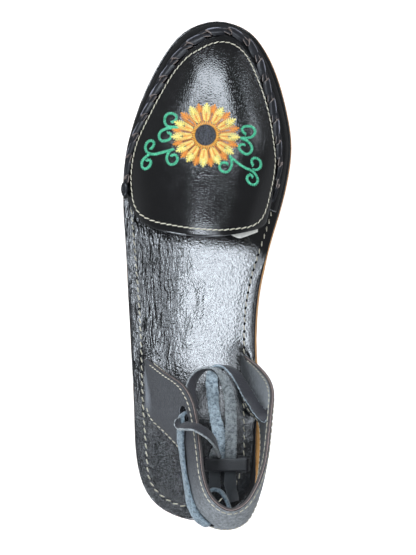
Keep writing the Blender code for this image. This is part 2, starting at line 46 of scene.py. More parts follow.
# Studio: the shoe stands on a white table and is photographed from straight above, a little from its inner
# side. Soft boxes hang over its outer side, overhead and all round it, in a dim room.
PHOTO_WIDE, PHOTO_HIGH = 416, 555
VIEW_HEIGHT = 277.5
PIXEL = VIEW_HEIGHT / PHOTO_HIGH
SENSOR = 36.0
TABLE_SIZE = 6.0
target = Vector((0.5, -2.75, 10.0)) * MM
eye = Vector((60.0, -2.75, 1000.0)) * MM
back = (eye - target).normalized()
right = Vector((0.0, 1.0, 0.0)).cross(back).normalized()
upward = back.cross(right)
bpy.ops.object.camera_add()
camera = bpy.context.object
camera.matrix_world = Matrix.Translation(eye) @ Matrix((right, upward, back)).transposed().to_4x4()
camera.data.sensor_width = SENSOR
camera.data.lens = SENSOR * (eye - target).length / (VIEW_HEIGHT * MM)
bpy.context.scene.camera = camera
bpy.context.scene.view_settings.view_transform = "Standard"


def linear(code):
    """A colour from its sRGB hex code."""
    shares = [int(code[i:i + 2], 16) / 255.0 for i in (1, 3, 5)]
    return (*[v / 12.92 if v <= 0.04045 else ((v + 0.055) / 1.055) ** 2.4 for v in shares], 1.0)


def add(material, kind, inputs=None, stops=(), **settings):
    """One more node: settings are its own choices, stops are a ramp's places and hex codes.

    Inputs are values, nodes to link by their first output, or (node, output) pairs to link.
    """
    node = material.node_tree.nodes.new("ShaderNode" + kind)
    for name, value in settings.items():
        setattr(node, name, value)
    for name, value in (inputs or {}).items():
        pair = value if isinstance(value, tuple) else (value, 0)
        if isinstance(pair[0], bpy.types.Node):
            material.node_tree.links.new(pair[0].outputs[pair[1]], node.inputs[name])
        else:
            node.inputs[name].default_value = value
    for position, code in stops[1:-1]:
        node.color_ramp.elements.new(position).color = linear(code)
    for end in (0, -1) if stops else ():
        node.color_ramp.elements[end].position = stops[end][0]
        node.color_ramp.elements[end].color = linear(stops[end][1])
    return node


def new_material(name):
    """An empty node material."""
    material = bpy.data.materials.new(name)
    material.use_nodes = True
    material.node_tree.nodes.clear()
    return material


world = bpy.data.worlds.new("dim pale room")
bpy.context.scene.world = world
world.use_nodes = True
direction = add(world, "SeparateXYZ", {"Vector": (add(world, "TexCoord"), "Generated")})
height = add(world, "MapRange", {"Value": (direction, "Z"), "From Min": -0.1, "From Max": 0.1, "To Min": 0.3,
                                 "To Max": 0.16})
background = world.node_tree.nodes["Background"]
background.inputs["Color"].default_value = linear("#e9edf2")
world.node_tree.links.new(height.outputs["Result"], background.inputs["Strength"])

SOFT_BOXES = (
    # name, place, x of the point that it faces, width, depth, watts
    ("box over the outer side", (-270.0, 72.0, 1450.0), 0.0, 420.0, 175.0, 3.9),
    ("box overhead", (110.0, 55.0, 1450.0), 0.0, 420.0, 210.0, 1.3),
    ("box in front of the toe", (-363.0, 920.0, 987.0), -597.0, 2100.0, 460.0, 24.0),
    ("box at the outer side of the heel", (-900.0, -900.0, 500.0), 0.0, 500.0, 400.0, 8.5),
    ("small box at the inner side", (1050.0, 660.0, 380.0), 0.0, 180.0, 180.0, 0.6),
    ("box behind the heel", (150.0, -950.0, 850.0), 0.0, 500.0, 400.0, 6.0),
)
for name, place, faced_x, width, depth, watts in SOFT_BOXES:
    bpy.ops.object.light_add(type="AREA", location=Vector(place) * MM)
    lamp = bpy.context.object
    lamp.name = name
    lamp.data.shape = "RECTANGLE"
    lamp.data.size = width * MM
    lamp.data.size_y = depth * MM
    lamp.data.energy = watts
    lamp.data.color = linear("#e4edf7")[:3]
    faced = Vector((faced_x * MM, target.y, target.z))
    lamp.rotation_euler = (lamp.location - faced).to_track_quat("Z", "Y").to_euler()

bpy.ops.mesh.primitive_plane_add(size=TABLE_SIZE)
table = bpy.context.object
table.name = "table"
table.visible_glossy = False
# Background paper lit from behind, so it is white and takes hardly any shadow.
paper = new_material("lit background paper")
shader = add(paper, "BsdfPrincipled", {"Base Color": linear("#c8c8c8"), "Roughness": 0.9,
                                       "Emission Color": linear("#ffffff"), "Emission Strength": 0.75})
add(paper, "OutputMaterial", {"Surface": shader})
table.data.materials.append(paper)


def seen(piece, px, py):
    """Where the photograph's pixel lies on a piece, with the piece's normal there."""
    scale = PIXEL * MM
    through = target + right * (px - 0.5 * PHOTO_WIDE) * scale + upward * (0.5 * PHOTO_HIGH - py) * scale
    hit, place, normal, _ = piece.ray_cast(eye, (through - eye).normalized())
    if not hit:
        raise ValueError(f"{piece.name} isn't under pixel {px:.1f}, {py:.1f}")
    return place, normal


# Sole: one tan slab with a low heel, cut to the foot's outline, rounded at its edges and glued under the
# footbed. It is sheet rubber, so it is dull, with a grain from the mould and a buffed cut edge.
WELD = 0.02
QUAD_BEND, QUAD_SKEW, SHARP = (math.radians(angle) for angle in (30.0, 60.0, 50.0))
CREASE = 0.9
SMOOTHING_LIMIT, SMOOTHING_LEAST = 0.8, 0.001


def activate(piece):
    """Make a piece the only selected one."""
    bpy.ops.object.select_all(action="DESELECT")
    bpy.context.view_layer.objects.active = piece
    piece.select_set(True)


def apply(piece, kind, **settings):
    """Add a modifier with its settings and apply it."""
    activate(piece)
    bpy.ops.object.modifier_add(type=kind)
    step = piece.modifiers[-1]
    for name, value in settings.items():
        setattr(step, name, value)
    bpy.ops.object.modifier_apply(modifier=step.name)


def smooth_copy(node, name, levels):
    """A piece from a copy of a CAD node, with its triangles joined to quads and its curves smoothed.

    Smoothing draws a form in, so its points are first moved out by as much as a trial draws them in,
    within a limit, because the points round a cut are too uneven for that.
    """
    piece = bpy.data.objects.new(name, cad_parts[node].data.copy())
    bpy.context.collection.objects.link(piece)
    piece.data.materials.clear()
    activate(piece)
    bpy.ops.mesh.customdata_custom_splitnormals_clear()
    bpy.ops.object.mode_set(mode="EDIT")
    bpy.ops.mesh.select_all(action="SELECT")
    bpy.ops.mesh.remove_doubles(threshold=WELD * MM)
    bpy.ops.mesh.tris_convert_to_quads(face_threshold=QUAD_BEND, shape_threshold=QUAD_SKEW)
    bpy.ops.mesh.select_all(action="DESELECT")
    bpy.ops.mesh.edges_select_sharp(sharpness=SHARP)
    bpy.ops.transform.edge_crease(value=CREASE)
    bpy.ops.object.mode_set(mode="OBJECT")
    bpy.ops.object.shade_smooth()
    trial = piece.copy()
    trial.data = piece.data.copy()
    bpy.context.collection.objects.link(trial)
    apply(trial, "SUBSURF", levels=levels, render_levels=levels)
    for vertex, drawn in zip(piece.data.vertices, trial.data.vertices):
        shift = vertex.co - drawn.co
        vertex.co += shift * min(1.0, SMOOTHING_LIMIT * MM / max(shift.length, SMOOTHING_LEAST * MM))
    bpy.data.objects.remove(trial, do_unlink=True)
    apply(piece, "SUBSURF", levels=levels, render_levels=levels)
    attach(piece, "root")
    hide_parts(node)
    return piece


sole = smooth_copy("sole", "sole_rubber", 2)
# Buffed crepe rubber: a warm tan with cloudy patches and a gritty cut edge.
tan_rubber = new_material("tan sheet rubber")
where = (add(tan_rubber, "TexCoord"), "Object")
blotches = add(tan_rubber, "TexNoise", {"Vector": where, "Scale": 1 / (14.0 * MM), "Detail": 5.0})
tone = add(tan_rubber, "ValToRGB", {"Fac": blotches}, ((0.3, "#b98245"), (0.7, "#dfa764")))
grit = add(tan_rubber, "TexNoise", {"Vector": where, "Scale": 1 / (0.9 * MM), "Detail": 3.0})
relief = add(tan_rubber, "Bump", {"Height": grit, "Strength": 0.4, "Distance": 0.25 * MM})
shader = add(tan_rubber, "BsdfPrincipled", {"Base Color": tone, "Roughness": 0.62, "Normal": relief})
add(tan_rubber, "OutputMaterial", {"Surface": shader})
sole.data.materials.append(tan_rubber)

# Footbed: a glazed black leather insole over the whole sole, pressed hollow under the foot. Its outer half is
# wrinkled along the shoe and its heel is crazed, as glazed leather gets when it is bent.
FACES_UP = 0.9
SKIN = 0.5
LONG_EDGE = 2.0
TOP_CUTS, EDGE_CUTS = 5, 2
LINE_DOTS = 12
HOLLOW_X = -15.0
HOLLOW_OUTER, HOLLOW_INNER = 25.0, 43.0
HOLLOW_ROUND = 7.0
HOLLOW_DEEP = 2.7
HOLLOW_BACK, HOLLOW_FRONT = (-75.0, -45.0), (20.0, 60.0)
CORNER = ((12.5, 24.5), (31.0, 8.2))
PRESSED = (
    # depth, reach and places of a line where the strap or the vamp presses the footbed in
    (1.3, 4.0, ((-31.0, -43.5), (-31.0, -52.0), (-30.8, -61.5), (-29.0, -70.0))),
    (1.3, 4.0, ((22.0, -68.5), (19.0, -61.5), (18.9, -51.5), (18.4, -41.5))),
    (0.6, 5.0, ((-32.0, 24.0), (-10.0, 23.5), (12.5, 24.5))),
    (0.7, 4.0, CORNER),
)
CORNER_BLUR = 2.0
CORNER_TILT = Vector((0.5, 0.05, 0.0))
HEEL_TILT = Vector((0.05, -0.05, 0.0))
CREASE_DEEP, CREASE_HALF = 0.12, 1.3
CREASES = (
    ((-3.0, -5.0), (-3.6, -11.0), (-3.1, -16.0), (-4.2, -22.0)),
    ((-7.5, -22.0), (-8.6, -27.5), (-10.2, -33.0), (-9.6, -37.0)),
    ((-14.0, 6.0), (-14.8, -2.0), (-14.2, -9.0)),
)
footbed_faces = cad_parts["footbed"].data.polygons
tops = sorted((face.center.y, face.center.z) for face in footbed_faces if face.normal.z > FACES_UP)
deck_y, deck_z = np.array(tops).T


def deck(y):
    """Height of the footbed at y, in metres."""
    return np.interp(y, deck_y, deck_z)


def ease(value, start, full):
    """Smooth rise from 0 at start to 1 at full."""
    share = np.clip((value - start) / (full - start), 0.0, 1.0)
    return share * share * (3.0 - 2.0 * share)


def dotted(rows):
    """Close places on straight lines between rows of places."""
    return np.concatenate([np.linspace(a, b, LINE_DOTS) for a, b in zip(rows, rows[1:])])


def distance_to(places, spot):
    """Distance from a spot to the nearest place."""
    return np.min(np.linalg.norm(places - spot, axis=1))


footbed = smooth_copy("footbed", "footbed_leather", 1)
for face in footbed.data.polygons:
    face.select = face.normal.z > FACES_UP
bpy.ops.object.mode_set(mode="EDIT")
bpy.ops.mesh.select_mode(type="FACE")
bpy.ops.mesh.subdivide(number_cuts=TOP_CUTS)
bpy.ops.mesh.select_mode(type="EDGE")
bpy.ops.mesh.select_all(action="DESELECT")
bpy.ops.object.mode_set(mode="OBJECT")
for edge in footbed.data.edges:
    first, last = (footbed.data.vertices[number].co for number in edge.vertices)
    on_top = min(first.z - deck(first.y), last.z - deck(last.y)) > -SKIN * MM
    edge.select = on_top and abs(last.x - first.x) > LONG_EDGE * MM
bpy.ops.object.mode_set(mode="EDIT")
bpy.ops.mesh.subdivide(number_cuts=EDGE_CUTS)
bpy.ops.object.mode_set(mode="OBJECT")
pressed_lines = [(deep, fade, dotted(rows)) for deep, fade, rows in PRESSED]
crease_places = np.concatenate([dotted(rows) for rows in CREASES])
for vertex in footbed.data.vertices:
    x, y, z = vertex.co
    if z < deck(y) - SKIN * MM:
        continue
    lengthwise = ease(y / MM, *HOLLOW_BACK) * (1.0 - ease(y / MM, *HOLLOW_FRONT))
    reach = HOLLOW_OUTER if x / MM < HOLLOW_X else HOLLOW_INNER
    aside = math.hypot(x / MM - HOLLOW_X, HOLLOW_ROUND) - HOLLOW_ROUND
    sink = HOLLOW_DEEP * max(0.0, 1.0 - aside / reach) * lengthwise
    spot = np.array((x, y)) / MM
    sink += CREASE_DEEP * math.exp(-(distance_to(crease_places, spot) / CREASE_HALF) ** 2)
    for deep, fade, places in pressed_lines:
        sink += deep * math.exp(-distance_to(places, spot) / fade)
    vertex.co.z = z - sink * MM
footbed.data.update()

# Aniline leather under a shellac glaze: black, mirror-like where it is smooth, broken by folds and pores.
glazed = new_material("glazed black leather")
where = (add(glazed, "TexCoord"), "Object")
parts = add(glazed, "SeparateXYZ", {"Vector": where})
drift = add(glazed, "TexNoise", {"Vector": where, "Scale": 1 / (14.0 * MM), "Detail": 3.0})
border = add(glazed, "Math", {0: drift, 1: 22.0 * MM, 2: (parts, "X")}, operation="MULTIPLY_ADD")
outer_half = add(glazed, "MapRange", {"Value": border, "From Min": 7.0 * MM, "From Max": -23.0 * MM},
                 interpolation_type="SMOOTHSTEP")
heel_part = add(glazed, "MapRange", {"Value": (parts, "Y"), "From Min": -45.0 * MM, "From Max": -75.0 * MM},
                interpolation_type="SMOOTHSTEP")
outer_heel = add(glazed, "MapRange", {"Value": (parts, "X"), "From Min": -14.0 * MM, "From Max": -4.0 * MM,
                                      "To Min": 1.0, "To Max": 0.3})
crazed = add(glazed, "Math", {0: outer_heel, 1: heel_part}, operation="MULTIPLY")
worn = add(glazed, "MapRange", {"Value": outer_half, "To Min": 0.55, "To Max": 1.0})
flat_heel = add(glazed, "MapRange", {"Value": heel_part, "To Min": 1.0, "To Max": 0.5})
pebbled = add(glazed, "Math", {0: worn, 1: flat_heel}, operation="MULTIPLY")
stretched = add(glazed, "Mapping", {"Vector": where, "Scale": (1.0, 0.2, 1.0)})
# Between the vamp's inner corner and the edge it is tipped to the inner side, where the room is dark, and the
# seat of the heel is tipped a little backwards and inwards.
(corner_x, corner_y), (edge_x, edge_y) = CORNER
corner_way = Vector((corner_y - edge_y, edge_x - corner_x, 0.0)).normalized()
corner_at = corner_way.dot(Vector((corner_x, corner_y, 0.0)))
corner_away = add(glazed, "VectorMath", {0: where, 1: corner_way}, operation="DOT_PRODUCT")
in_corner = add(glazed, "MapRange", {"Value": (corner_away, "Value"),
                                     "From Min": (corner_at - CORNER_BLUR) * MM,
                                     "From Max": (corner_at + CORNER_BLUR) * MM},
                interpolation_type="SMOOTHSTEP")
normal = (add(glazed, "NewGeometry"), "Normal")
for tilt, tilted in ((CORNER_TILT, in_corner), (HEEL_TILT, heel_part)):
    normal = add(glazed, "VectorMath", {0: tilt, 1: tilted, 2: normal}, operation="MULTIPLY_ADD")
normal = add(glazed, "VectorMath", {0: normal}, operation="NORMALIZE")
# Folds along the outer half, crazing at the heel and pebbles all over, from coarse to fine.
for vector, size, bent, covered, strength, depth in ((stretched, 2.6, 0.9, outer_half, 0.9, 0.8),
                                                     (where, 0.9, 0.9, crazed, 1.0, 0.3),
                                                     (where, 1.1, 0.0, pebbled, 0.8, 0.2)):
    grain = add(glazed, "TexNoise", {"Vector": vector, "Scale": 1 / (size * MM), "Detail": 2.0,
                                     "Distortion": bent})
    height = add(glazed, "Math", {0: grain, 1: covered}, operation="MULTIPLY")
    normal = add(glazed, "Bump", {"Height": height, "Strength": strength, "Distance": depth * MM,
                                  "Normal": normal})
gloss = add(glazed, "MapRange", {"Value": heel_part, "To Min": 0.16, "To Max": 0.11})
shader = add(glazed, "BsdfPrincipled", {"Base Color": linear("#0c0c0e"), "Roughness": gloss, "IOR": 1.9,
                                        "Normal": normal})
add(glazed, "OutputMaterial", {"Surface": shader})
footbed.data.materials.append(glazed)

# Seam round the footbed: a lock stitch in waxed cream thread, 6 mm inside the edge. Each stitch lies a little
# aslant and dips into its hole at both ends.
STITCH_ROUND, STITCH_RINGS = 6, 5
THREAD_FULLNESS = 0.5
THREAD_WIDE, THREAD_HIGH = 0.62, 0.5
STITCH_SLANT, STITCH_LIFT = 0.09, 0.1
LINE_STEPS = 10
FOOTBED_STITCH, FOOTBED_SHARE = 3.9, 0.68
FOOTBED_SEAM = (
    (130.5, 200), (132, 217), (134.3, 243), (136.4, 268.6), (137.9, 288.6), (139.3, 308.6),
    (140.4, 328.6), (141.3, 350), (142, 380), (143, 405), (145.5, 440), (147, 460), (148.5, 477),
    (151, 483), (156, 491), (162, 496), (172, 502.5), (185, 506.5), (198, 507), (212, 504), (225, 497),
    (235, 486), (241, 471), (244, 450), (244, 426), (243.5, 390), (244, 349), (244.3, 326), (245.7, 307),
    (248, 293), (253, 271.5), (258.5, 254), (264, 237), (269, 222), (272, 210),
)


def spline(rows, steps):
    """Points on a smooth curve through the rows (centripetal Catmull-Rom)."""
    rows = np.array(rows, dtype=float)
    rows = np.vstack((2 * rows[0] - rows[1], rows, 2 * rows[-1] - rows[-2]))
    line = []
    for first, second, third, fourth in zip(rows, rows[1:], rows[2:], rows[3:]):
        one, two, three = (math.sqrt(np.linalg.norm(b - a))
                           for a, b in ((first, second), (second, third), (third, fourth)))
        leave = two * ((second - first) / one - (third - first) / (one + two) + (third - second) / two)
        reach = two * ((third - second) / two - (fourth - second) / (two + three) + (fourth - third) / three)
        for step in range(steps):
            t = step / steps
            line.append((2 * t**3 - 3 * t**2 + 1) * second + (t**3 - 2 * t**2 + t) * leave
                        + (3 * t**2 - 2 * t**3) * third + (t**3 - t**2) * reach)
    line.append(rows[-2])
    return np.array(line)


def even(line, spacing, axes):
    """The line's points at equal spacing, measured in its first axes."""
    steps = np.linalg.norm(np.diff(line[:, :axes], axis=0), axis=1)
    lengths = np.concatenate(([0.0], np.cumsum(steps)))
    places = np.linspace(0.0, lengths[-1], max(2, round(lengths[-1] / spacing) + 1))
    return np.array([np.interp(places, lengths, column) for column in line.T]).T


bpy.ops.mesh.primitive_uv_sphere_add(segments=STITCH_ROUND, ring_count=STITCH_RINGS, radius=0.5)
stitch_form = bpy.context.object
stitch_form.name = "stitch_form"
bpy.ops.object.mode_set(mode="EDIT")
bpy.ops.mesh.select_all(action="SELECT")
bpy.ops.transform.rotate(value=0.5 * math.pi, orient_axis="Y", center_override=(0.0, 0.0, 0.0))
bpy.ops.object.mode_set(mode="OBJECT")
bpy.ops.object.shade_smooth()
for vertex in stitch_form.data.vertices:
    radius = math.hypot(vertex.co.y, vertex.co.z)
    if radius > 0.01:
        fuller = 0.5 * (radius / 0.5) ** THREAD_FULLNESS / radius
        vertex.co.y *= fuller
        vertex.co.z *= fuller


def join(pieces):
    """One piece from many, which is the first of them."""
    bpy.ops.object.select_all(action="DESELECT")
    for piece in pieces:
        piece.select_set(True)
    bpy.context.view_layer.objects.active = pieces[0]
    bpy.ops.object.join()
    return pieces[0]


def sew(name, stitches, thread):
    """One piece from stitches, each with its start, end, the leather's normal, width and thickness."""
    copies = []
    for start, end, normal, width, thickness in stitches:
        along = end - start
        side = normal.cross(along).normalized()
        lift = along.cross(side).normalized()
        turn = Matrix((along, side * width, lift * thickness)).transposed().to_4x4()
        copy = bpy.data.objects.new(name, stitch_form.data.copy())
        copy.data.transform(Matrix.Translation(0.5 * (start + end)) @ turn)
        bpy.context.collection.objects.link(copy)
        copies.append(copy)
    piece = join(copies)
    piece.data.materials.append(thread)
    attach(piece, "root")


def seam(places, normals, share):
    """Stitches between neighbouring places of a seam, each over a share of the way from hole to hole."""
    stitches = []
    for start, end, normal in zip(places, places[1:], normals):
        along = end - start
        slant = normal.cross(along) * STITCH_SLANT
        middle = 0.5 * (start + end) + normal.normalized() * STITCH_LIFT * THREAD_HIGH * MM
        half = 0.5 * share * along
        stitches.append((middle - half - slant, middle + half + slant, normal,
                         THREAD_WIDE * MM, THREAD_HIGH * MM))
    return stitches


def seen_holes(piece, pixels, spacing):
    """Places and normals of a seam's holes on a piece, along a line of the photograph's pixels."""
    hits = [seen(piece, px, py) for px, py in even(spline(pixels, LINE_STEPS), spacing / PIXEL, 2)]
    return [place for place, _ in hits], [normal for _, normal in hits]


def thread_material(name, code, dark_code, twist, gloss):
    """Twisted thread: two tones in fine bands and a soft shine."""
    material = new_material(name)
    place = (add(material, "TexCoord"), "Object")
    fibres = add(material, "TexNoise", {"Vector": place, "Scale": 1 / (twist * MM), "Detail": 2.0})
    tone = add(material, "ValToRGB", {"Fac": fibres}, ((0.36, dark_code), (0.62, code)))
    relief = add(material, "Bump", {"Height": fibres, "Strength": 0.5, "Distance": 0.1 * MM})
    shader = add(material, "BsdfPrincipled", {"Base Color": tone, "Roughness": gloss, "Sheen Weight": 0.2,
                                              "Normal": relief})
    add(material, "OutputMaterial", {"Surface": shader})
    return material


# Waxed linen: cream, twisted, dull.
cream_thread = thread_material("waxed linen thread", "#dcd5bf", "#b9b09a", 0.5, 0.6)
bpy.context.view_layer.update()
holes, hole_normals = seen_holes(footbed, FOOTBED_SEAM, FOOTBED_STITCH)
sew("footbed_seam", seam(holes, hole_normals, FOOTBED_SHARE), cream_thread)
# Needle holes gape at the hollow's inner side. They are too small to cut, so they are flat dark ovals, whose
# near black, matt colour is painted shade of the holes.
HOLE_LONG, HOLE_WIDE, HOLE_HIGH = 1.5, 1.1, 0.14
GAPING_X, GAPING_Y = 5.0, (-45.0, 12.0)
needle_hole = new_material("needle hole in black leather")
shader = add(needle_hole, "BsdfPrincipled", {"Base Color": linear("#060606"), "Roughness": 0.9, "IOR": 1.2})
add(needle_hole, "OutputMaterial", {"Surface": shader})
ovals = []
for place, after, normal in zip(holes, holes[1:], hole_normals):
    if place.x < GAPING_X * MM or not GAPING_Y[0] * MM < place.y < GAPING_Y[1] * MM:
        continue
    half = (after - place).normalized() * 0.5 * HOLE_LONG * MM
    ovals.append((place - half, place + half, normal, HOLE_WIDE * MM, HOLE_HIGH * MM))
sew("footbed_holes", ovals, needle_hole)

# Vamp: side wall and top plug of black calf leather, lasted to the foot's shape and joined along a seam under
# the braid. The plug is polished, its back edge is cut raw, and its inside is the leather's flesh side.
CORE = Vector((4.0, 85.0, 8.0)) * MM
WALL_RISE_SIDE, WALL_RISE_TOE = 19.5, 15.5
TOE_START, TOE_FULL = 60.0, 118.0
THROAT_FRONT, FACES_BACK = 42.0, -0.6
SWELLS = ((65.0, 22.0, 1.0), (20.0, 12.0, 0.6))
SWELL_FROM, SWELL_FULL = 14.0, 28.0
FLOWER_X, FLOWER_Y = 205.7, 135.2
PLUG_STITCH, PLUG_SHARE = 2.9, 0.98
PLUG_SEAM = (
    (219, 42), (210, 44.2), (200, 49.2), (190, 55), (180, 65), (171.7, 75.8), (163.3, 90), (155, 105),
    (148.3, 118.3), (142.5, 130), (137.5, 141.7), (133.8, 155), (131.7, 168.3), (131, 181.7),
    (132, 193.3), (134.2, 205), (139.2, 213.3), (146.7, 218.3), (158.3, 222.5), (171.7, 225),
    (186.7, 227.5), (203.3, 229.2), (220, 230), (236.7, 228.7), (250, 226.7), (259.2, 221.7),
    (265, 212.5), (268.3, 201.7), (271.7, 186.7), (274.2, 173.3), (275.3, 158.3), (274.2, 146.7),
    (271.7, 128.3), (267.5, 108.3), (262.5, 91.7), (256.7, 76.7), (250, 61.7), (243.3, 51.7),
    (233.3, 44.2), (226.7, 42.2),
)
vamp = smooth_copy("vamp", "vamp_leather", 2)
for vertex in vamp.data.vertices:
    above = (vertex.co.z - deck(vertex.co.y)) / MM
    swell = sum(high * math.exp(-((vertex.co.y / MM - middle) / long) ** 2) for middle, long, high in SWELLS)
    vertex.co.z += swell * ease(above, SWELL_FROM, SWELL_FULL) * MM
vamp.data.update()


def calf_leather(name, code, roughness, index, grain, depth):
    """Chrome tanned calf: near black, with fine pores that break its shine into a soft glint.

    It gives the material with its place, its relief, its polish and its shader, to build on.
    """
    material = new_material(name)
    place = (add(material, "TexCoord"), "Object")
    pores = add(material, "TexNoise", {"Vector": place, "Scale": 1 / (grain * MM), "Detail": 4.0,
                                       "Roughness": 0.6})
    cells = add(material, "TexVoronoi", {"Vector": place, "Scale": 1 / (1.7 * grain * MM)},
                feature="DISTANCE_TO_EDGE")
    pebbles = add(material, "MapRange", {"Value": cells, "From Max": 0.3}, interpolation_type="SMOOTHSTEP")
    both = add(material, "Math", {0: pores, 1: 0.8, 2: pebbles}, operation="MULTIPLY_ADD")
    relief = add(material, "Bump", {"Height": both, "Strength": 0.6, "Distance": depth * MM})
    wear = add(material, "TexNoise", {"Vector": place, "Scale": 1 / (9.0 * MM), "Detail": 4.0})
    polish = add(material, "MapRange", {"Value": wear, "From Min": 0.3, "From Max": 0.7,
                                        "To Min": roughness - 0.03, "To Max": roughness + 0.04})
    shader = add(material, "BsdfPrincipled", {"Base Color": linear(code), "Roughness": polish, "IOR": index,
                                              "Normal": relief})
    add(material, "OutputMaterial", {"Surface": shader})
    return material, place, relief, polish, shader


def raw_leather(name, code, dark_code, fibre, depth):
    """Flesh side or cut edge: matt, with a short nap and a cloudy tone."""
    material = new_material(name)
    place = (add(material, "TexCoord"), "Object")
    cloud = add(material, "TexNoise", {"Vector": place, "Scale": 1 / (fibre * MM), "Detail": 6.0,
                                       "Roughness": 0.65})
    tone = add(material, "ValToRGB", {"Fac": cloud}, ((0.35, dark_code), (0.65, code)))
    nap = add(material, "TexNoise", {"Vector": place, "Scale": 1 / (0.35 * MM), "Detail": 2.0})
    relief = add(material, "Bump", {"Height": nap, "Strength": 0.7, "Distance": depth * MM})
    shader = add(material, "BsdfPrincipled", {"Base Color": tone, "Roughness": 0.85, "Sheen Weight": 0.25,
                                              "Sheen Roughness": 0.5, "Normal": relief})
    add(material, "OutputMaterial", {"Surface": shader})
    return material


bpy.context.view_layer.update()
# The embroidery draws the leather in, so it is puckered round the flower. It is polished a little less on the
# instep, and its grain is flatter there.
plug_leather, where, grain, polish, shader = calf_leather(
    "polished black calf", "#09090a", 0.16, 1.9, 0.7, 0.045)
away = add(plug_leather, "VectorMath", {0: where, 1: seen(vamp, FLOWER_X, FLOWER_Y)[0]}, operation="DISTANCE")
drawn = add(plug_leather, "MapRange", {"Value": (away, "Value"), "From Min": 23.0 * MM,
                                       "From Max": 16.0 * MM})
puckers = add(plug_leather, "TexNoise", {"Vector": where, "Scale": 1 / (1.7 * MM), "Detail": 1.5,
                                         "Distortion": 0.8})
pucker_relief = add(plug_leather, "Math", {0: puckers, 1: drawn}, operation="MULTIPLY")
relief = add(plug_leather, "Bump", {"Height": pucker_relief, "Strength": 0.8, "Distance": 0.22 * MM,
                                    "Normal": grain})
lengthwise = add(plug_leather, "SeparateXYZ", {"Vector": where})
instep = add(plug_leather, "MapRange", {"Value": (lengthwise, "Y"), "From Min": 60.0 * MM,
                                        "From Max": 46.0 * MM}, interpolation_type="SMOOTHSTEP")
flatter = add(plug_leather, "MapRange", {"Value": instep, "To Min": 0.75, "To Max": 0.45})
duller = add(plug_leather, "Math", {0: instep, 1: 0.02, 2: polish}, operation="MULTIPLY_ADD")
for source, changed, socket in ((relief, shader, "Normal"), (flatter, grain, "Strength"),
                                (duller, shader, "Roughness")):
    plug_leather.node_tree.links.new(source.outputs[0], changed.inputs[socket])
wall_leather = calf_leather("black calf", "#080809", 0.5, 1.35, 0.6, 0.12)[0]
cut_edge = raw_leather("raw cut edge of black leather", "#6c6c70", "#414145", 1.2, 0.15)
flesh_side = raw_leather("flesh side of black leather", "#5a5753", "#3d3b39", 2.5, 0.2)
vamp_leathers = (plug_leather, wall_leather, cut_edge, flesh_side)
for material in vamp_leathers:
    vamp.data.materials.append(material)
for face in vamp.data.polygons:
    middle, normal = face.center, face.normal
    axis = Vector((CORE.x, min(middle.y, CORE.y), deck(middle.y) + CORE.z))
    toe = ease(middle.y / MM, TOE_START, TOE_FULL)
    wall_rise = (WALL_RISE_SIDE + (WALL_RISE_TOE - WALL_RISE_SIDE) * toe) * MM
    if middle.y < THROAT_FRONT * MM and normal.y < FACES_BACK:
        face.material_index = vamp_leathers.index(cut_edge)
    elif normal.dot(middle - axis) < 0.0:
        face.material_index = vamp_leathers.index(flesh_side)
    elif middle.z - deck(middle.y) < wall_rise:
        face.material_index = vamp_leathers.index(wall_leather)
bpy.context.view_layer.update()
plug_holes = seen_holes(vamp, (*PLUG_SEAM, PLUG_SEAM[0]), PLUG_STITCH)
sew("plug_seam", seam(*plug_holes, PLUG_SHARE), cream_thread)

# Braid: a flat leather thong, plaited over the seam between wall and plug from the outer side round the toe
# to the inner side. Each turn lies over the rim as a broad flap, and two narrower strands cross between the
# flaps.
BRAID_LINE = (
    (128.2, 181), (128.8, 167.5), (130.9, 154.2), (134.5, 140.6), (139.2, 128.6), (144.8, 116.4),
    (151, 102.7), (158.9, 87.3), (167.1, 72.3), (175, 60.4), (185.2, 48.6), (195.5, 40.8), (206.6, 34.6),
    (218.2, 31.5), (228, 31.8), (237.8, 35.3), (249.6, 45.3), (257, 57.8), (262.8, 74.1), (267.6, 90),
    (272, 107.2), (275.6, 127.6), (277.8, 146.4), (278.7, 158.3), (277.7, 173.7), (275.2, 187.4),
    (272, 202.6),
)
BED_STEP, BED_SMOOTHINGS = 2.0, 4
BED_LINE_STEPS, TAIL_LINE_STEPS = 6, 4
BRAID_PITCH = 10.3
BRAID_STEP = 0.35
FLAP_LONG, FLAP_THICK = 7.2, 0.9
FLAP_HALF_END, FLAP_HALF_TOE, FLAP_GROWTH = 1.5, 2.9, 1.3
FLAP_RISE, FLAP_EDGE_RISE, FLAP_LEAN = 1.7, 0.35, 0.4
FLAP_SKEW, FLAP_CORNER = 1.2, 0.3
FLAP_CELLS = 10
TAIL_WIDE, TAIL_HIGH, TAIL_CORNER = 1.9, 0.8, 0.3
TAIL = (
    # length from the flap's edge, share of the flap's half width, the same to either side, lift
    (-5.0, 0.35, 0.3, 0.2),
    (-3.4, 0.3, 0.3, 0.75),
    (-1.6, 0.1, 0.45, 0.95),
    (1.0, 0.0, 0.6, 0.8),
)


def strip_section(half_wide, half_high, corner):
    """Section of a flat strip with round edges."""
    section = []
    for a, b, start in ((1, 1, 0.0), (-1, 1, 0.5), (-1, -1, 1.0), (1, -1, 1.5)):
        for k in range(3):
            turn = math.pi * (start + 0.25 * k)
            section.append((a * (half_wide - corner) + corner * math.cos(turn),
                            b * (half_high - corner) + corner * math.sin(turn)))
        if a * b > 0:
            section.append((0.0, b * half_high))
    return section


def carry(mesh, **values):
    """Give a mesh's points values that its material reads."""
    for title, numbers in values.items():
        mesh.attributes.new(title, "FLOAT", "POINT").data.foreach_set("value", numbers)


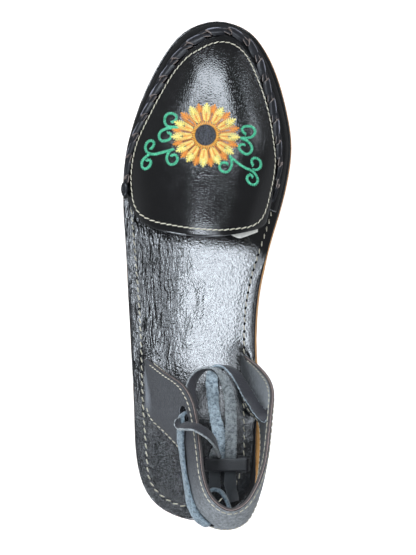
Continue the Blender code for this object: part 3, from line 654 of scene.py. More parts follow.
def ribbon(name, line, wide, high, corner, material):
    """A flat strip along a line of places, width directions, shares of its width and frays of its two edges.

    Lengths are in millimetres. Of its two attributes, side is its face, -1 to 1, and rim is 1 at its edges.
    """
    section = strip_section(0.5 * wide, 0.5 * high, corner)
    flat = 0.5 * wide - 2.0 * corner
    count = len(section)
    points, sides, rims = [], [], []
    for row, ahead in zip(line, np.gradient(line[:, :3], axis=0)):
        face = np.cross(row[3:6], ahead)
        face /= np.linalg.norm(face)
        side = np.cross(ahead, face)
        side /= np.linalg.norm(side)
        frays = row[7:9] if len(row) > 7 else (0.0, 0.0)
        for a, b in section:
            fray = frays[0] if a > flat else frays[1] if a < -flat else 0.0
            points.append((row[:3] + (a * row[6] + fray) * side + b * face) * MM)
            sides.append(2.0 * b / high)
            rims.append(2.0 * abs(a) / wide)
    last = (len(line) - 1) * count
    faces = [tuple(range(count))[::-1], tuple(range(last, last + count))]
    for first in range(0, last, count):
        for j in range(count):
            a, b = first + j, first + (j + 1) % count
            faces.append((a, b, b + count, a + count))
    mesh = bpy.data.meshes.new(name)
    mesh.from_pydata([tuple(point) for point in points], [], faces)
    carry(mesh, side=sides, rim=rims)
    mesh.materials.append(material)
    piece = bpy.data.objects.new(name, mesh)
    bpy.context.collection.objects.link(piece)
    activate(piece)
    bpy.ops.object.mode_set(mode="EDIT")
    bpy.ops.mesh.select_all(action="SELECT")
    bpy.ops.mesh.normals_make_consistent(inside=False)
    bpy.ops.object.mode_set(mode="OBJECT")
    bpy.ops.object.shade_smooth()
    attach(piece, "root")
    return piece


# Satin thong leather: near black, with a painted grey highlight on the outer side of each flap, and a tan
# line where the cut shows.
thong = new_material("black thong leather")
where = (add(thong, "TexCoord"), "Object")
patches = add(thong, "TexNoise", {"Vector": where, "Scale": 1 / (3.0 * MM), "Detail": 3.0})
# Painted highlight: the outer side of each flap is mixed towards pale grey, made patchy by noise.
bend_share = add(thong, "Attribute", attribute_name="bend")
patchy_highlight = add(thong, "Math", {0: patches, 1: 0.5, 2: (bend_share, "Fac")}, operation="MULTIPLY_ADD")
bend = add(thong, "MapRange", {"Value": patchy_highlight, "From Min": 0.5, "From Max": 0.85})
highlit_face_tone = add(thong, "Mix", {0: bend, 6: linear("#1b1b1f"), 7: linear("#9a9aa6")}, data_type="RGBA")
rim_share = add(thong, "Attribute", attribute_name="rim")
ragged = add(thong, "Math", {0: patches, 1: 0.2, 2: (rim_share, "Fac")}, operation="MULTIPLY_ADD")
cut = add(thong, "MapRange", {"Value": ragged, "From Min": 0.97, "From Max": 1.05})
tone = add(thong, "Mix", {0: cut, 6: (highlit_face_tone, 2), 7: linear("#7d706a")}, data_type="RGBA")
pores = add(thong, "TexNoise", {"Vector": where, "Scale": 1 / (0.9 * MM), "Detail": 4.0})
relief = add(thong, "Bump", {"Height": pores, "Strength": 0.6, "Distance": 0.12 * MM})
shader = add(thong, "BsdfPrincipled", {"Base Color": (tone, 2), "Roughness": 0.36, "Normal": relief})
add(thong, "OutputMaterial", {"Surface": shader})

bpy.context.view_layer.update()
hits = [seen(vamp, px, py) for px, py in even(spline(BRAID_LINE, LINE_STEPS), BED_STEP / PIXEL, 2)]
bed = np.array([[*place / MM, *normal] for place, normal in hits])
for _ in range(BED_SMOOTHINGS):
    bed[1:-1, 3:] = (bed[:-2, 3:] + 2.0 * bed[1:-1, 3:] + bed[2:, 3:]) / 4.0
bed = even(spline(bed, BED_LINE_STEPS), BRAID_STEP, 3)
ahead = np.gradient(bed[:, :3], axis=0)
ahead /= np.linalg.norm(ahead, axis=1)[:, None]
normals = bed[:, 3:] - ahead * np.sum(bed[:, 3:] * ahead, axis=1)[:, None]
normals /= np.linalg.norm(normals, axis=1)[:, None]
sides = np.cross(normals, ahead)


def on_braid(along, aside, lift):
    """Place in millimetres at a length along the braid, aside from its line, lifted from the vamp there."""
    lengths = BRAID_STEP * np.arange(len(bed))
    spot = [np.interp(along, lengths, column) for column in (bed[:, :3] + sides * aside).T]
    _, place, normal, _ = vamp.closest_point_on_mesh(Vector(spot) * MM)
    return np.array(place / MM + normal * lift)


thongs = []
braid_length = (len(bed) - 1) * BRAID_STEP
turns = round(braid_length / BRAID_PITCH)
for turn in range(turns):
    share = (turn + 0.5) / turns
    middle = share * braid_length
    half = FLAP_HALF_END + (FLAP_HALF_TOE - FLAP_HALF_END) * math.sin(math.pi * share) ** FLAP_GROWTH
    bpy.ops.mesh.primitive_grid_add(x_subdivisions=FLAP_CELLS, y_subdivisions=FLAP_CELLS, size=2.0)
    flap = bpy.context.object
    flap.name = f"flap_{turn}"
    rims, bends = [], []
    for vertex in flap.data.vertices:
        along, aside, _ = vertex.co
        rims.append(max(0.0, -along))
        bends.append(max(0.0, aside))
        lift = FLAP_EDGE_RISE + (FLAP_RISE - FLAP_EDGE_RISE) * (1.0 - aside**4) - FLAP_LEAN * along
        reach = half * aside * (1.0 - FLAP_CORNER * along**4)
        vertex.co = on_braid(middle + 0.5 * FLAP_LONG * along - FLAP_SKEW * aside, reach, lift) * MM
    carry(flap.data, rim=rims, bend=bends)
    apply(flap, "SOLIDIFY", thickness=FLAP_THICK * MM, offset=-1.0)
    bpy.ops.object.shade_smooth_by_angle(angle=SHARP)
    flap.data.materials.append(thong)
    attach(flap, "root")
    thongs.append(flap)
    edge = middle - 0.5 * FLAP_LONG
    for side in (-1, 1):
        line = spline([on_braid(edge + along, half * (aside + to_side * side), lift)
                       for along, aside, to_side, lift in TAIL], TAIL_LINE_STEPS)
        width = np.cross(normals[int(np.clip(edge / BRAID_STEP, 0, len(bed) - 1))], np.gradient(line, axis=0))
        thongs.append(ribbon(f"tail_{turn}_{side + 1}", np.hstack((line, width, np.ones((len(line), 1)))),
                             TAIL_WIDE, TAIL_HIGH, TAIL_CORNER, thong))
braid = join(thongs)
braid.name = "braid_thong"
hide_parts("braid")

# Knot: the thong's end tied in a small ring in front of the vamp's outer corner. It is of the same black
# thong leather as the braid.
knot = smooth_copy("braid_knot", "braid_knot_ring", 2)
knot.data.materials.append(thong)

# Embroidery: a sunflower with curled tendrils, machine sewn through the plug in rayon thread before the vamp
# was lasted. Petals are in fishbone stitch, the ring in satin stitch, the disc in rows, the tendrils in rope.
DISC_RADIUS, RING_RADIUS = 10.7, 13.6
PETAL_BEARINGS = (88, 58, 28, -4, -34, -65, -95, -125, -151, -177, -203, -242)
TIP_RADIUS, TIP_WIDER, TIP_LONG = 32.2, 2.2, 4.0
PETAL_OUTLINE = ((0.0, 1.8), (0.3, 3.4), (0.6, 4.5), (0.82, 3.9), (0.93, 2.3), (1.0, 0.6))
FISHBONE_ROWS, FISHBONE_SLANT, FISHBONE_GAP = 10, 3.0, 0.15
FILL_FROM, FILL_TO, FILL_ASIDE, FILL_NARROWER, FILL_UNDER = 10.0, 2.0, 0.9, 0.7, 0.1
ROOT_SHORT, ROOT_NEAR, RIB_LONG = 9.0, 0.6, 9.0
COMB_ROWS, COMB_STEP, COMB_START, COMB_LONG = 4, 2.25, 1.2, 2.0
COMB_NEAR, COMB_FAR, COMB_WIDER = 0.3, 2.6, 0.3
RING_STITCHES, RING_SLANT, RING_OVER = 45, 3, 0.4
DISC_ROWS, DISC_STEP, DISC_STITCH = 9, 1.1, 4.5
ROPE_HALF, ROPE_STEP, ROPE_LEAN = 1.4, 1.75, 0.9
ROPE_LINE_STEPS = 8
ORANGE_LIFT, YELLOW_LIFT, GREEN_LIFT = 0.1, 0.32, 0.15
ROOT_LIFT, COMB_LIFT, RIB_LIFT = 0.2, 0.47, 0.42
RING_LIFT, DISC_LIFT = 0.4, 0.2
# Width and thickness of the threads.
FISHBONE_THREAD, TIP_THREAD, FILL_THREAD = (0.62, 0.55), (0.7, 0.5), (0.9, 0.4)
ROOT_THREAD, COMB_THREAD, RIB_THREAD = (0.8, 0.4), (0.22, 0.3), (0.5, 0.5)
RING_THREAD, DISC_THREAD, ROPE_THREAD = (0.66, 0.55), (0.6, 0.45), (0.8, 0.65)
TENDRILS = (
    ((177.5, 127.3), (172, 127), (168, 126.5), (165.5, 124), (164.8, 120), (166, 115.8), (168.5, 113.8),
     (171.5, 113.5), (174.5, 114.3), (176.7, 116.5), (176.2, 119.3), (174.5, 121.3), (172, 122.3)),
    ((177, 127.5), (171, 128), (165, 129.3), (161.5, 131.2), (159.5, 134.5), (159.5, 138), (161.5, 140.7),
     (165, 141), (168.5, 140), (171, 137.5), (171.4, 135.2), (170.4, 133.4), (168, 133)),
    ((173.3, 149.2), (170, 150.4), (166, 151.5), (160, 153), (155, 154.3), (151, 154), (147.5, 152.4),
     (146, 150), (145.6, 146.8), (147, 143), (149.5, 141), (152, 140.8), (153.9, 142), (154.1, 144.5),
     (152.8, 147), (151, 149)),
    ((148.5, 155), (145.5, 157.5), (143, 160.3), (142, 163.5), (142.5, 167.2), (145, 169), (148, 167.8),
     (150, 165.5), (151, 162.5), (150.5, 160.3), (148.5, 159.8), (147, 160.8)),
    ((170, 151), (168, 154), (166.8, 157.8), (167.5, 161.5), (169.5, 164), (172.2, 164.6), (175.3, 163.3),
     (177.3, 160.5), (177.5, 157.5), (176, 155.2), (173.8, 154.6), (171.6, 156)),
    ((240.8, 138.3), (244.5, 138), (249, 137.8), (252.2, 136.6), (254.5, 133.8), (255, 131),
     (253.8, 128.4), (250.5, 126.3), (247, 126.3), (243.5, 127), (241.8, 129.3), (242.8, 131.8),
     (245.5, 134)),
    ((240.8, 138.3), (243.5, 139.3), (247, 141), (250, 143.8), (251.8, 147.5), (251.3, 151),
     (249.3, 153.5), (246.5, 154.3), (243.3, 153), (240.5, 150.5), (238.8, 148), (239.8, 145.4),
     (242, 144.4), (244.5, 144.8)),
    ((230, 156.5), (233.2, 159.4), (237, 162.4), (241, 165.4), (245, 167.8), (249.4, 169.7),
     (252.7, 171.7), (255.5, 174.8), (257.3, 178.5), (257.3, 182), (255.5, 184.3), (252.8, 184.9),
     (250, 183.8), (248, 181.5), (246.8, 178.5), (247.8, 176), (250.3, 174.5), (252.5, 177)),
    ((253.3, 169.8), (257, 169.8), (259.8, 167.8), (260.8, 164.4), (259.9, 161), (257.8, 159),
     (254.5, 158), (252, 159.5), (251.5, 162.3), (252.8, 165.3)),
    ((231, 157.8), (231.6, 161.3), (231.6, 165.2), (230.1, 169), (227.5, 171.7), (224.4, 172),
     (221.2, 170.5), (219.5, 167.5), (220.2, 164.5), (222.5, 162.8), (225.4, 162.7), (227.7, 163.9)),
)


def thread_between(start, end, lift, thread):
    """One stitch on the vamp between two pixels of the photograph, lifted by what lies under it."""
    first, first_normal = seen(vamp, *start)
    last, last_normal = seen(vamp, *end)
    normal = (first_normal + last_normal).normalized()
    return first + normal * lift * MM, last + normal * lift * MM, normal, thread[0] * MM, thread[1] * MM


def on_flower(bearing, radius, aside=0.0):
    """Pixel at a bearing and radius from the flower's middle, moved aside across the bearing."""
    turn = math.radians(bearing)
    return (FLOWER_X + radius * math.cos(turn) + aside * math.sin(turn),
            FLOWER_Y - radius * math.sin(turn) + aside * math.cos(turn))


def spoke(bearing, near, far, lift, thread, near_aside=0.0, far_aside=0.0):
    """One stitch outwards along a bearing from the flower's middle, with its two ends moved aside."""
    start, end = on_flower(bearing, near, near_aside), on_flower(bearing, far, far_aside)
    return thread_between(start, end, lift, thread)


def petal(bearing, lift):
    """Stitches of one petal: fishbone from midline to edges, one along its tip and two that fill it."""
    tip = TIP_RADIUS + TIP_WIDER * math.cos(math.radians(bearing)) ** 2
    shares, halves = zip(*PETAL_OUTLINE)
    stitches = [spoke(bearing, tip - TIP_LONG, tip, lift, TIP_THREAD)]
    for side in (-1, 1):
        stitches.append(spoke(bearing, tip - FILL_FROM, tip - FILL_TO, lift - FILL_UNDER, FILL_THREAD,
                              FILL_ASIDE * side, FILL_NARROWER * FILL_ASIDE * side))
        for row in range(FISHBONE_ROWS):
            near = RING_RADIUS + (tip - RING_RADIUS - FISHBONE_SLANT) * row / (FISHBONE_ROWS - 1)
            far = near + FISHBONE_SLANT
            half = np.interp((far - RING_RADIUS) / (tip - RING_RADIUS), shares, halves)
            stitches.append(spoke(bearing, near, far, lift, FISHBONE_THREAD, FISHBONE_GAP * side,
                                  half * side))
    return stitches


orange_stitches, yellow_stitches = [], []
for first, second in zip(PETAL_BEARINGS, (*PETAL_BEARINGS[1:], PETAL_BEARINGS[0] - 360)):
    orange_stitches += petal(0.5 * (first + second), ORANGE_LIFT)
    yellow_stitches += petal(first, YELLOW_LIFT)
    # A yellow petal has an orange root: two stitches at its base, a comb of thin ones over it and a rib.
    for aside in (-FILL_ASIDE, FILL_ASIDE):
        orange_stitches.append(spoke(first, RING_RADIUS, TIP_RADIUS - ROOT_SHORT, ROOT_LIFT, ROOT_THREAD,
                                     ROOT_NEAR * aside, aside))
        for row in range(COMB_ROWS):
            near = RING_RADIUS + COMB_START + COMB_STEP * row
            orange_stitches.append(spoke(first, near, near + COMB_LONG, COMB_LIFT, COMB_THREAD,
                                         COMB_NEAR * aside, (COMB_FAR + COMB_WIDER * row) * aside))
    orange_stitches.append(spoke(first, RING_RADIUS, RING_RADIUS + RIB_LONG, RIB_LIFT, RIB_THREAD))
ring_stitches = []
for bearing in np.linspace(0.0, 360.0, RING_STITCHES, endpoint=False):
    start = on_flower(bearing, DISC_RADIUS - RING_OVER)
    end = on_flower(bearing + RING_SLANT, RING_RADIUS + RING_OVER)
    ring_stitches.append(thread_between(start, end, RING_LIFT, RING_THREAD))
disc_stitches = []
for row in range(-DISC_ROWS, DISC_ROWS + 1):
    level = row * DISC_STEP
    half = math.sqrt(max(DISC_RADIUS**2 - level**2, 0.0))
    ends = np.linspace(FLOWER_X - half, FLOWER_X + half, max(1, round(2.0 * half / DISC_STITCH)) + 1)
    for start, end in zip(ends, ends[1:]):
        disc_stitches.append(thread_between((start, FLOWER_Y + level), (end, FLOWER_Y + level), DISC_LIFT,
                                            DISC_THREAD))
green_stitches = []
for tendril in TENDRILS:
    line = even(spline(tendril, ROPE_LINE_STEPS), ROPE_STEP, 2)
    for place, ahead in zip(line, np.gradient(line, axis=0)):
        ahead /= np.linalg.norm(ahead)
        reach = np.array((-ahead[1], ahead[0])) * ROPE_HALF + ahead * ROPE_LEAN
        green_stitches.append(thread_between(place - reach, place + reach, GREEN_LIFT, ROPE_THREAD))

# Rayon embroidery thread: bright filament with a silky shine.
for name, stitches, colour, code, dark_code, gloss in (
        ("petals_orange", orange_stitches, "orange", "#f3a233", "#d97d22", 0.45),
        ("petals_yellow", yellow_stitches, "yellow", "#fbf3a2", "#f2d658", 0.45),
        ("flower_ring", ring_stitches, "amber", "#ffc04a", "#f09a30", 0.45),
        ("flower_disc", disc_stitches, "black", "#494b54", "#16171b", 0.5),
        ("tendrils", green_stitches, "green", "#5fd6a8", "#2a9a6f", 0.4)):
    rayon = thread_material(colour + " rayon thread", code, dark_code, 0.8, gloss)
    sew(name, stitches, rayon)

# Backing cloth: a scrap of stiff white cloth that lay under the plug for the embroidery. It stays glued to
# the plug's inner side, and one corner of it shows behind the raw back edge.
TAB_STEPS = 12
TAB_UNDER, TAB_THICK = 2.35, 0.35
TAB_FRONT = 222.0
THROAT_LINE = ((231.0, 232.0), (240.0, 231.0), (252.0, 229.0), (262.0, 226.5))
TAB_BACK = ((231.0, 233.2), (237.0, 236.4), (243.0, 238.7), (253.0, 235.8), (262.0, 232.8))
throat_x, throat_y = np.array(THROAT_LINE).T
tab_x, tab_y = np.array(TAB_BACK).T
bpy.ops.mesh.primitive_grid_add(x_subdivisions=TAB_STEPS, y_subdivisions=TAB_STEPS, size=1.0)
tab = bpy.context.object
tab.name = "backing_cloth"
for vertex in tab.data.vertices:
    px = tab_x[0] + (tab_x[-1] - tab_x[0]) * (vertex.co.x + 0.5)
    py = TAB_FRONT + (np.interp(px, tab_x, tab_y) - TAB_FRONT) * (0.5 - vertex.co.y)
    edge = float(np.interp(px, throat_x, throat_y))
    anchor, normal = seen(vamp, px, min(py, edge))
    beyond = max(0.0, py - edge) * PIXEL * MM
    vertex.co = anchor - normal * TAB_UNDER * MM - Vector((0.0, beyond, 0.0))
apply(tab, "SOLIDIFY", thickness=TAB_THICK * MM, offset=-1.0)
bpy.ops.object.shade_smooth()
# Stiff cotton: white, matt, a little cloudy.
tab.data.materials.append(raw_leather("stiff white cotton", "#efece4", "#dcd8cf", 1.5, 0.08))
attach(tab, "root")

# Heel strap: two layers of leather sewn together at their edges, set into the sole at both front ends and
# standing slack round the heel. Grain side out, flesh side in, with raw cut edges and slits for the laces.
STRAP_THICK, STRAP_BULGE = 2.0, 1.2
STRAP_EDGE_ROUND = 0.3
STRAP_CELLS_ALONG, STRAP_CELLS_UP = 126, 14
ROW_STEPS = 20
STRAP = (
    # lower x, y, z over the footbed, upper x, y, z over the footbed
    (-31, -43.5, -2, -30, -43, 3.5),
    (-31, -52, -2, -20, -49, 22),
    (-30.8, -61.5, -2, -10, -54.5, 36),
    (-29.3, -71.8, 1.5, -5.3, -61, 42),
    (-19.6, -80.3, 9, -2.7, -70.5, 45),
    (-11.5, -88.5, 14, -1, -84, 46),
    (-8.2, -102.5, 16, 0.6, -97, 46),
    (-4.5, -117, 16.5, 4, -106.5, 45),
    (1.8, -124.2, 16.5, 9.4, -112, 44.5),
    (10.8, -126.2, 16.5, 15.3, -113.8, 44),
    (19.6, -123.2, 16.5, 21.8, -110.3, 44.5),
    (25.3, -113.5, 13.5, 27, -102.5, 45),
    (28, -98, 6.5, 31.3, -90.5, 46),
    (28.6, -83, 1.5, 33.3, -76, 46),
    (27.2, -73.5, 0.8, 34.3, -66, 45),
    (22, -68.5, 0.5, 34.8, -58, 40),
    (19, -61.5, -2, 32.8, -52, 32),
    (18.9, -51.5, -2, 27.2, -46, 20),
    (18.4, -41.5, -2, 19.2, -41, 3.5),
)
OPENINGS = (
    # row number in STRAP, share of the height, length along, height
    (3.6, 0.79, 9.0, 6.5),
    (13.8, 0.72, 9.0, 3.4),
    (7.95, 0.17, 6.0, 4.5),
)
OPENING_DEPTH, OPENING_ROUND = 14.0, 0.45
strap_rows = np.array(STRAP)
for y_column, z_column in ((1, 2), (4, 5)):
    strap_rows[:, z_column] += deck(strap_rows[:, y_column] * MM) / MM
strap_line = spline(strap_rows, ROW_STEPS)


def strap_frame(row, share):
    """Place on the strap's outer face, its outward normal and its directions along and up."""
    index = min(max(row * ROW_STEPS, 1.0), len(strap_line) - 2.0)
    keys = np.arange(len(strap_line))
    before, here, after = (np.array([np.interp(position, keys, column) for column in strap_line.T])
                           for position in (index - 1.0, index, index + 1.0))
    up = here[3:] - here[:3]
    up /= np.linalg.norm(up)
    along = (after - before)[:3] * (1.0 - share) + (after - before)[3:] * share
    along /= np.linalg.norm(along)
    normal = np.cross(along, up)
    normal /= np.linalg.norm(normal)
    bulge = STRAP_BULGE * 4.0 * share * (1.0 - share)
    place = here[:3] + (here[3:] - here[:3]) * share + normal * bulge
    return Vector(place * MM), Vector(normal), Vector(along), Vector(up)


bpy.ops.mesh.primitive_grid_add(x_subdivisions=STRAP_CELLS_ALONG, y_subdivisions=STRAP_CELLS_UP, size=1.0)
strap = bpy.context.object
strap.name = "heel_strap_leather"
levels, rows_along = [], []
for vertex in strap.data.vertices:
    row, share = (vertex.co.x + 0.5) * (len(STRAP) - 1), vertex.co.y + 0.5
    levels.append(share)
    rows_along.append(row)
    vertex.co = strap_frame(row, share)[0]
carry(strap.data, level=levels, row=rows_along)
outer_points = len(strap.data.vertices)
bpy.ops.object.shade_smooth()
# Drum dyed leather: satin black and a little cloudy. It is paler along its lower edge where it bends into the
# sole, which is a painted highlight, and paler in specks behind the heel, which is partly grey scuffing and
# partly a painted highlight.
strap_grain, where, _, _, shader = calf_leather("black strap leather", "#3f3f42", 0.5, 1.45, 0.9, 0.2)
row_number = (add(strap_grain, "Attribute", attribute_name="row"), "Fac")
level_share = (add(strap_grain, "Attribute", attribute_name="level"), "Fac")
scuffs = add(strap_grain, "TexNoise", {"Vector": where, "Scale": 1 / (1.6 * MM), "Detail": 3.0,
                                       "Roughness": 0.7})
specks = add(strap_grain, "MapRange", {"Value": scuffs, "From Min": 0.35, "From Max": 0.65, "To Min": 0.2,
                                       "To Max": 0.8})
# Behind the heel the colour is lightened in specks: partly scuffing, partly painted highlight.
behind = add(strap_grain, "MapRange", {"Value": row_number, "From Min": 5.0, "From Max": 8.0, "To Min": 0.12},
             interpolation_type="SMOOTHSTEP")
patchy_highlight = add(strap_grain, "Math", {0: specks, 1: behind}, operation="MULTIPLY")
worn = add(strap_grain, "Mix", {0: patchy_highlight, 6: linear("#3f3f42"), 7: linear("#a6aaac")}, data_type="RGBA")
# Painted highlight along the lower edge, except near the free edge.
near_low_edge = add(strap_grain, "MapRange", {"Value": level_share, "From Min": 0.2, "From Max": 0.08})
from_free_edge = add(strap_grain, "Math", {0: row_number, 1: 4.2}, operation="SUBTRACT")
rows_away = add(strap_grain, "Math", {0: from_free_edge}, operation="ABSOLUTE")
set_in = add(strap_grain, "MapRange", {"Value": rows_away, "From Min": 1.2, "From Max": 2.0})
low_edge_highlight = add(strap_grain, "Math", {0: near_low_edge, 1: set_in}, operation="MULTIPLY")
tone = add(strap_grain, "Mix", {0: low_edge_highlight, 6: (worn, 2), 7: linear("#8d9096")}, data_type="RGBA")
strap_grain.node_tree.links.new(tone.outputs[2], shader.inputs["Base Color"])
# Flesh side with a short nap: painted shade makes it black near its lower edge, and it pales to grey towards
# its upper one.
strap_flesh = new_material("flesh side of strap leather")
where = (add(strap_flesh, "TexCoord"), "Object")
level_share = (add(strap_flesh, "Attribute", attribute_name="level"), "Fac")
cloud = add(strap_flesh, "TexNoise", {"Vector": where, "Scale": 1 / (2.2 * MM), "Detail": 6.0,
                                      "Roughness": 0.65})
# Painted shade: darker towards the lower edge.
painted_shade_ramp = add(strap_flesh, "Math", {0: cloud, 1: 0.5, 2: level_share}, operation="MULTIPLY_ADD")
tone = add(strap_flesh, "ValToRGB", {"Fac": painted_shade_ramp}, ((0.55, "#242628"), (1.0, "#84888b")))
relief = add(strap_flesh, "Bump", {"Height": cloud, "Strength": 0.7, "Distance": 0.3 * MM})
shader = add(strap_flesh, "BsdfPrincipled", {"Base Color": tone, "Roughness": 0.85, "Sheen Weight": 0.2,
                                             "Normal": relief})
add(strap_flesh, "OutputMaterial", {"Surface": shader})
# Cut edge of the two layers: black dye at both faces, pinkish raw fibre between, dark along the glue line.
strap_edge = new_material("raw strap edge")
where = (add(strap_edge, "TexCoord"), "Object")
depth_share = (add(strap_edge, "Attribute", attribute_name="depth"), "Fac")
fibre = add(strap_edge, "TexNoise", {"Vector": where, "Scale": 1 / (0.8 * MM), "Detail": 4.0})
ragged = add(strap_edge, "Math", {0: fibre, 1: 0.3, 2: depth_share}, operation="MULTIPLY_ADD")
tone = add(strap_edge, "ValToRGB", {"Fac": ragged}, (
    (0.0, "#1f1f21"), (0.32, "#2e2b2b"), (0.42, "#94837d"), (0.56, "#897872"), (0.64, "#2e2b2b"),
    (0.8, "#57504e"), (1.0, "#3b3837")))
relief = add(strap_edge, "Bump", {"Height": fibre, "Strength": 0.8, "Distance": 0.2 * MM})
shader = add(strap_edge, "BsdfPrincipled", {"Base Color": tone, "Roughness": 0.85, "Normal": relief})
add(strap_edge, "OutputMaterial", {"Surface": shader})
for material in (strap_grain, strap_flesh, strap_edge):
    strap.data.materials.append(material)
apply(strap, "SOLIDIFY", thickness=STRAP_THICK * MM, offset=-1.0, use_even_offset=True, material_offset=1,
      material_offset_rim=2)
carry(strap.data, depth=[0.0] * outer_points + [1.0] * (len(strap.data.vertices) - outer_points))
apply(strap, "BEVEL", width=STRAP_EDGE_ROUND * MM, segments=2, limit_method="ANGLE", angle_limit=SHARP)
for row, share, length, height in OPENINGS:
    place, normal, along, _ = strap_frame(row, share)
    bpy.ops.mesh.primitive_cube_add(size=1.0)
    cutter = bpy.context.object
    turn = Matrix((along * length * MM, normal.cross(along) * height * MM, normal * OPENING_DEPTH * MM))
    cutter.data.transform(Matrix.Translation(place) @ turn.transposed().to_4x4())
    apply(cutter, "BEVEL", width=OPENING_ROUND * height * MM, segments=4, limit_method="ANGLE")
    cutter.data.materials.append(strap_edge)
    apply(strap, "BOOLEAN", operation="DIFFERENCE", object=cutter, solver="EXACT")
    bpy.data.objects.remove(cutter, do_unlink=True)
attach(strap, "root")
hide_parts("heel_strap")

# Strap seams: the same cream thread along both edges of the strap, seen on its outer and its inner face. They
# are lock stitches through both layers, close to the edge.
STRAP_SEAM_IN, STRAP_SEAM_LIFT = 2.6, 0.2
STRAP_STITCH, STRAP_SHARE = 3.0, 0.82
STRAP_SEAM_DOTS = 240
UPPER_ROWS, LOWER_ROWS = (0.4, 17.6), (2.6, 16.2)


def strap_seam(upper_edge, rows, inner):
    """Stitches along the strap's upper or lower edge between two row numbers, on its outer or inner face."""
    line = []
    for row in np.linspace(*rows, STRAP_SEAM_DOTS):
        lower, upper = strap_frame(row, 0.0)[0], strap_frame(row, 1.0)[0]
        share = STRAP_SEAM_IN * MM / (upper - lower).length
        place, normal, _, _ = strap_frame(row, 1.0 - share if upper_edge else share)
        face = -normal if inner else normal
        depth = STRAP_THICK if inner else 0.0
        line.append([*(place + face * (depth + STRAP_SEAM_LIFT) * MM), *face])
    line = even(np.array(line), STRAP_STITCH * MM, 3)
    return seam([Vector(row[:3]) for row in line], [Vector(row[3:]) for row in line], STRAP_SHARE)


strap_stitches = []
for inner in (False, True):
    strap_stitches += strap_seam(True, UPPER_ROWS, inner) + strap_seam(False, LOWER_ROWS, inner)
sew("strap_seam", strap_stitches, cream_thread)

# Laces: flat thongs of split leather, 6 mm wide, blue-grey suede on one side and black grain on the other.
# They pass through the strap's slits, cross over the footbed and lie folded under a keeper, with cut ends.
LACE_WIDE, LACE_THICK, LACE_CORNER = 6.0, 1.6, 0.6
LACE_STEP, LACE_LINE_STEPS = 0.5, 12
LACE_FRAY = 0.13
WANDER_KEPT, WANDER_STEP = 0.9, 0.015
# Painted shade on the laces in the heel cup, from and to these y.
END_SHADE_START, END_SHADE_FULL = -84.0, -97.0
RUN_ROUTE = (
    # row number in STRAP, share of the height, height over the strap's face, lean outwards, width share
    (7.98, 0.17, -4, 0, 0.9), (7.95, 0.17, 0.4, 0, 1), (7.65, 0.2, 1.5, 8, 1.05),
    (7.3, 0.19, 1.6, 14, 1.15), (6.8, 0.18, 1.6, 14, 1.15), (6.2, 0.18, 1.5, 6, 1.05),
    (5.6, 0.2, 1.4, 0, 1), (5, 0.32, 1.4, 0, 1), (4.5, 0.5, 1.4, 0, 1), (4.15, 0.64, 1.4, 0, 1),
    (3.85, 0.72, 1.2, 0, 1), (3.6, 0.75, 0.4, 0, 1), (3.45, 0.77, -3, 0, 0.9),
)
OVER_ROUTE = (
    # x, y, z, roll
    (-8.3, -69.9, 44, 250), (-11.1, -73.1, 52.8, 246), (-9.3, -73.4, 57.2, 243), (-5.9, -73.3, 62, 241),
    (-1.7, -73.7, 64.5, 240), (1.9, -75.7, 63.4, 240), (4.6, -78.7, 57.6, 250), (6.3, -82.3, 48, 268),
    (6.5, -85.6, 37.5, 290), (5.9, -88.4, 27.8, 318), (5, -90, 21.4, 350), (4.5, -92.8, 20.1, 360),
    (4.4, -97.5, 20, 360), (4.4, -102, 19.8, 360), (4.5, -107.5, 19.3, 360),
)
LATERAL_ROUTE = (
    # x, y, z, roll
    (-4, -66, 48.6, 140), (-5.6, -58.5, 46, 140), (-5.2, -53.5, 43, 136), (-2.6, -49.6, 39, 124),
    (2, -47.3, 35, 100), (6.4, -48.8, 32, 75), (9.9, -53.8, 28.5, 45), (12, -61, 25, 22),
    (12.7, -71, 22.4, 8), (12.6, -83.3, 21, 0), (12.4, -92, 20.3, 0), (12.2, -99, 20, 0),
    (12.2, -105.5, 19.9, 18), (14.2, -113.5, 20.5, 50),
)
MEDIAL_ROUTE = (
    # x, y, z, roll
    (31.4, -70.2, 48.4, 172), (27.7, -67.8, 45.2, 150), (22.6, -61, 39, 148), (18.9, -55.6, 32, 142),
    (14.7, -50, 25, 125), (10, -47, 20.5, 95), (5.5, -47.4, 19, 62), (3, -51.6, 18, 25),
    (3.3, -60, 17.6, 6), (4.2, -69, 17.8, 0), (6, -78, 17.9, 0), (8.2, -87, 17.9, 0), (9.2, -93, 17.9, 0),
    (9.4, -99, 17.8, 0), (10.8, -103, 17.7, 0),
)
BACK_ROUTE = (
    # x, y, z, roll
    (2.7, -117.8, 35.8, 85), (1.6, -112, 35.5, 88), (1.6, -108.4, 35.4, 88), (4.2, -106.2, 35.4, 88),
    (7.8, -106.8, 35.6, 88), (10.6, -110.4, 36, 88), (12.6, -115.5, 36.4, 88), (13.3, -121.1, 36.9, 88),
)
rng = np.random.default_rng(11)


def rolled_widths(route):
    """Width directions of a route: level where the roll is 0, upright where it is 90 degrees."""
    widths = []
    for row, tangent in zip(route, np.gradient(route[:, :3], axis=0)):
        tangent /= np.linalg.norm(tangent)
        level = np.cross(tangent, (0.0, 0.0, 1.0))
        level /= np.linalg.norm(level)
        roll = math.radians(row[3])
        widths.append(math.cos(roll) * level + math.sin(roll) * np.cross(level, tangent))
    return np.array(widths)


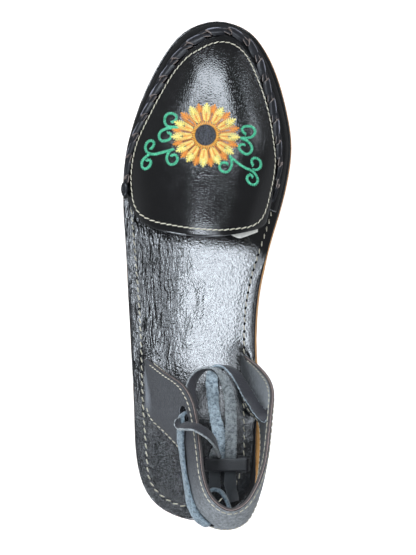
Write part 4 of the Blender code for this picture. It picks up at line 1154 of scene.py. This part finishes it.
def lace(name, places, widths, shares, material):
    """A flat lace through places in millimetres, with its width direction and share of the width at each."""
    line = even(spline(np.column_stack((places, widths, shares)), LACE_LINE_STEPS), LACE_STEP, 3)
    wander = 0.0
    for row in line:
        wander = WANDER_KEPT * wander + rng.normal(0.0, WANDER_STEP)
        row[6] *= 1.0 + wander
    line = np.column_stack((line, rng.normal(0.0, LACE_FRAY, (len(line), 2))))
    strip = ribbon(name, line, LACE_WIDE, LACE_THICK, LACE_CORNER, material)
    return strip, line[::2, :3] * MM


def rolled_lace(name, rows, material):
    """A flat lace of one width through rows of places and rolls."""
    route = np.array(rows)
    return lace(name, route[:, :3], rolled_widths(route), np.ones(len(route)), material)


# Split leather: napped, blue-grey and pitted on one side, black grain on the other, with fuzzy cut edges.
def split_leather(name, code, dark_code, shaded_end):
    """Split lace leather in two tones of its nap. A shaded one has painted shade from the keeper to its end.
    """
    material = new_material(name)
    place = (add(material, "TexCoord"), "Object")
    side_share = (add(material, "Attribute", attribute_name="side"), "Fac")
    rim_share = (add(material, "Attribute", attribute_name="rim"), "Fac")
    nap = add(material, "TexNoise", {"Vector": place, "Scale": 1 / (1.5 * MM), "Detail": 6.0,
                                     "Roughness": 0.75})
    suede = add(material, "ValToRGB", {"Fac": nap}, ((0.4, dark_code), (0.58, code)))
    facing = add(material, "MapRange", {"Value": side_share, "From Min": -0.75, "From Max": -0.2})
    two_sides = add(material, "Mix", {0: facing, 6: linear("#333236"), 7: suede}, data_type="RGBA")
    rim = add(material, "MapRange", {"Value": rim_share, "From Min": 0.93, "From Max": 1.0})
    tone = add(material, "Mix", {0: rim, 6: (two_sides, 2), 7: suede}, data_type="RGBA")
    # Painted shade, darkening the lace from the keeper to its end.
    if shaded_end:
        parts = add(material, "SeparateXYZ", {"Vector": place})
        end_shade = add(material, "MapRange", {"Value": (parts, "Y"), "From Min": END_SHADE_START * MM,
                                           "From Max": END_SHADE_FULL * MM}, interpolation_type="SMOOTHSTEP")
        tone = add(material, "Mix", {0: end_shade, 6: (tone, 2), 7: linear("#37393b")}, data_type="RGBA")
    dull = add(material, "MapRange", {"Value": facing, "To Min": 0.45, "To Max": 0.9})
    relief = add(material, "Bump", {"Height": nap, "Strength": 0.8, "Distance": 0.35 * MM})
    shader = add(material, "BsdfPrincipled", {"Base Color": (tone, 2), "Roughness": dull,
                                              "Sheen Weight": 0.15, "Normal": relief})
    add(material, "OutputMaterial", {"Surface": shader})
    return material


outer_lace = split_leather("blue-grey split leather", "#8d9ca4", "#505c65", False)
grey_lace = split_leather("grey split leather", "#b0b5b5", "#64686a", True)
blue_lace = split_leather("blue split leather", "#c4d2d8", "#717e89", True)
run_places, run_widths = [], []
for row, share, lift, lean, _ in RUN_ROUTE:
    place, normal, _, up = strap_frame(row, share)
    run_places.append(place / MM + normal * lift)
    run_widths.append(up * math.cos(math.radians(lean)) - normal * math.sin(math.radians(lean)))
lace_run, _ = lace("lace_run_strip", np.array(run_places), np.array(run_widths), np.array(RUN_ROUTE)[:, 4],
                   outer_lace)
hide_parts("lace_run")
lace_back, _ = rolled_lace("lace_back_strip", BACK_ROUTE, outer_lace)
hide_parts("lace_back")

# Keeper: a ring of thin smooth leather round the folded laces. Its ends are glued together on its underside.
keeper = smooth_copy("lace_keeper", "lace_keeper_ring", 3)
keeper.data.materials.append(calf_leather("smooth keeper leather", "#252527", 0.35, 1.5, 0.6, 0.06)[0])

# Free laces: three strips that hang from the strap into the shoe, each along its own middle line.
for node, rows, leather, carried in (("lace_over", OVER_ROUTE, grey_lace, []),
                                     ("lace_lateral", LATERAL_ROUTE, grey_lace, [keeper]),
                                     ("lace_medial", MEDIAL_ROUTE, blue_lace, [])):
    strip, path = rolled_lace(node + "_strip", rows, leather)
    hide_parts(node)
    length = float(np.sum(np.linalg.norm(np.diff(path, axis=0), axis=1)))

bpy.data.objects.remove(stitch_form, do_unlink=True)
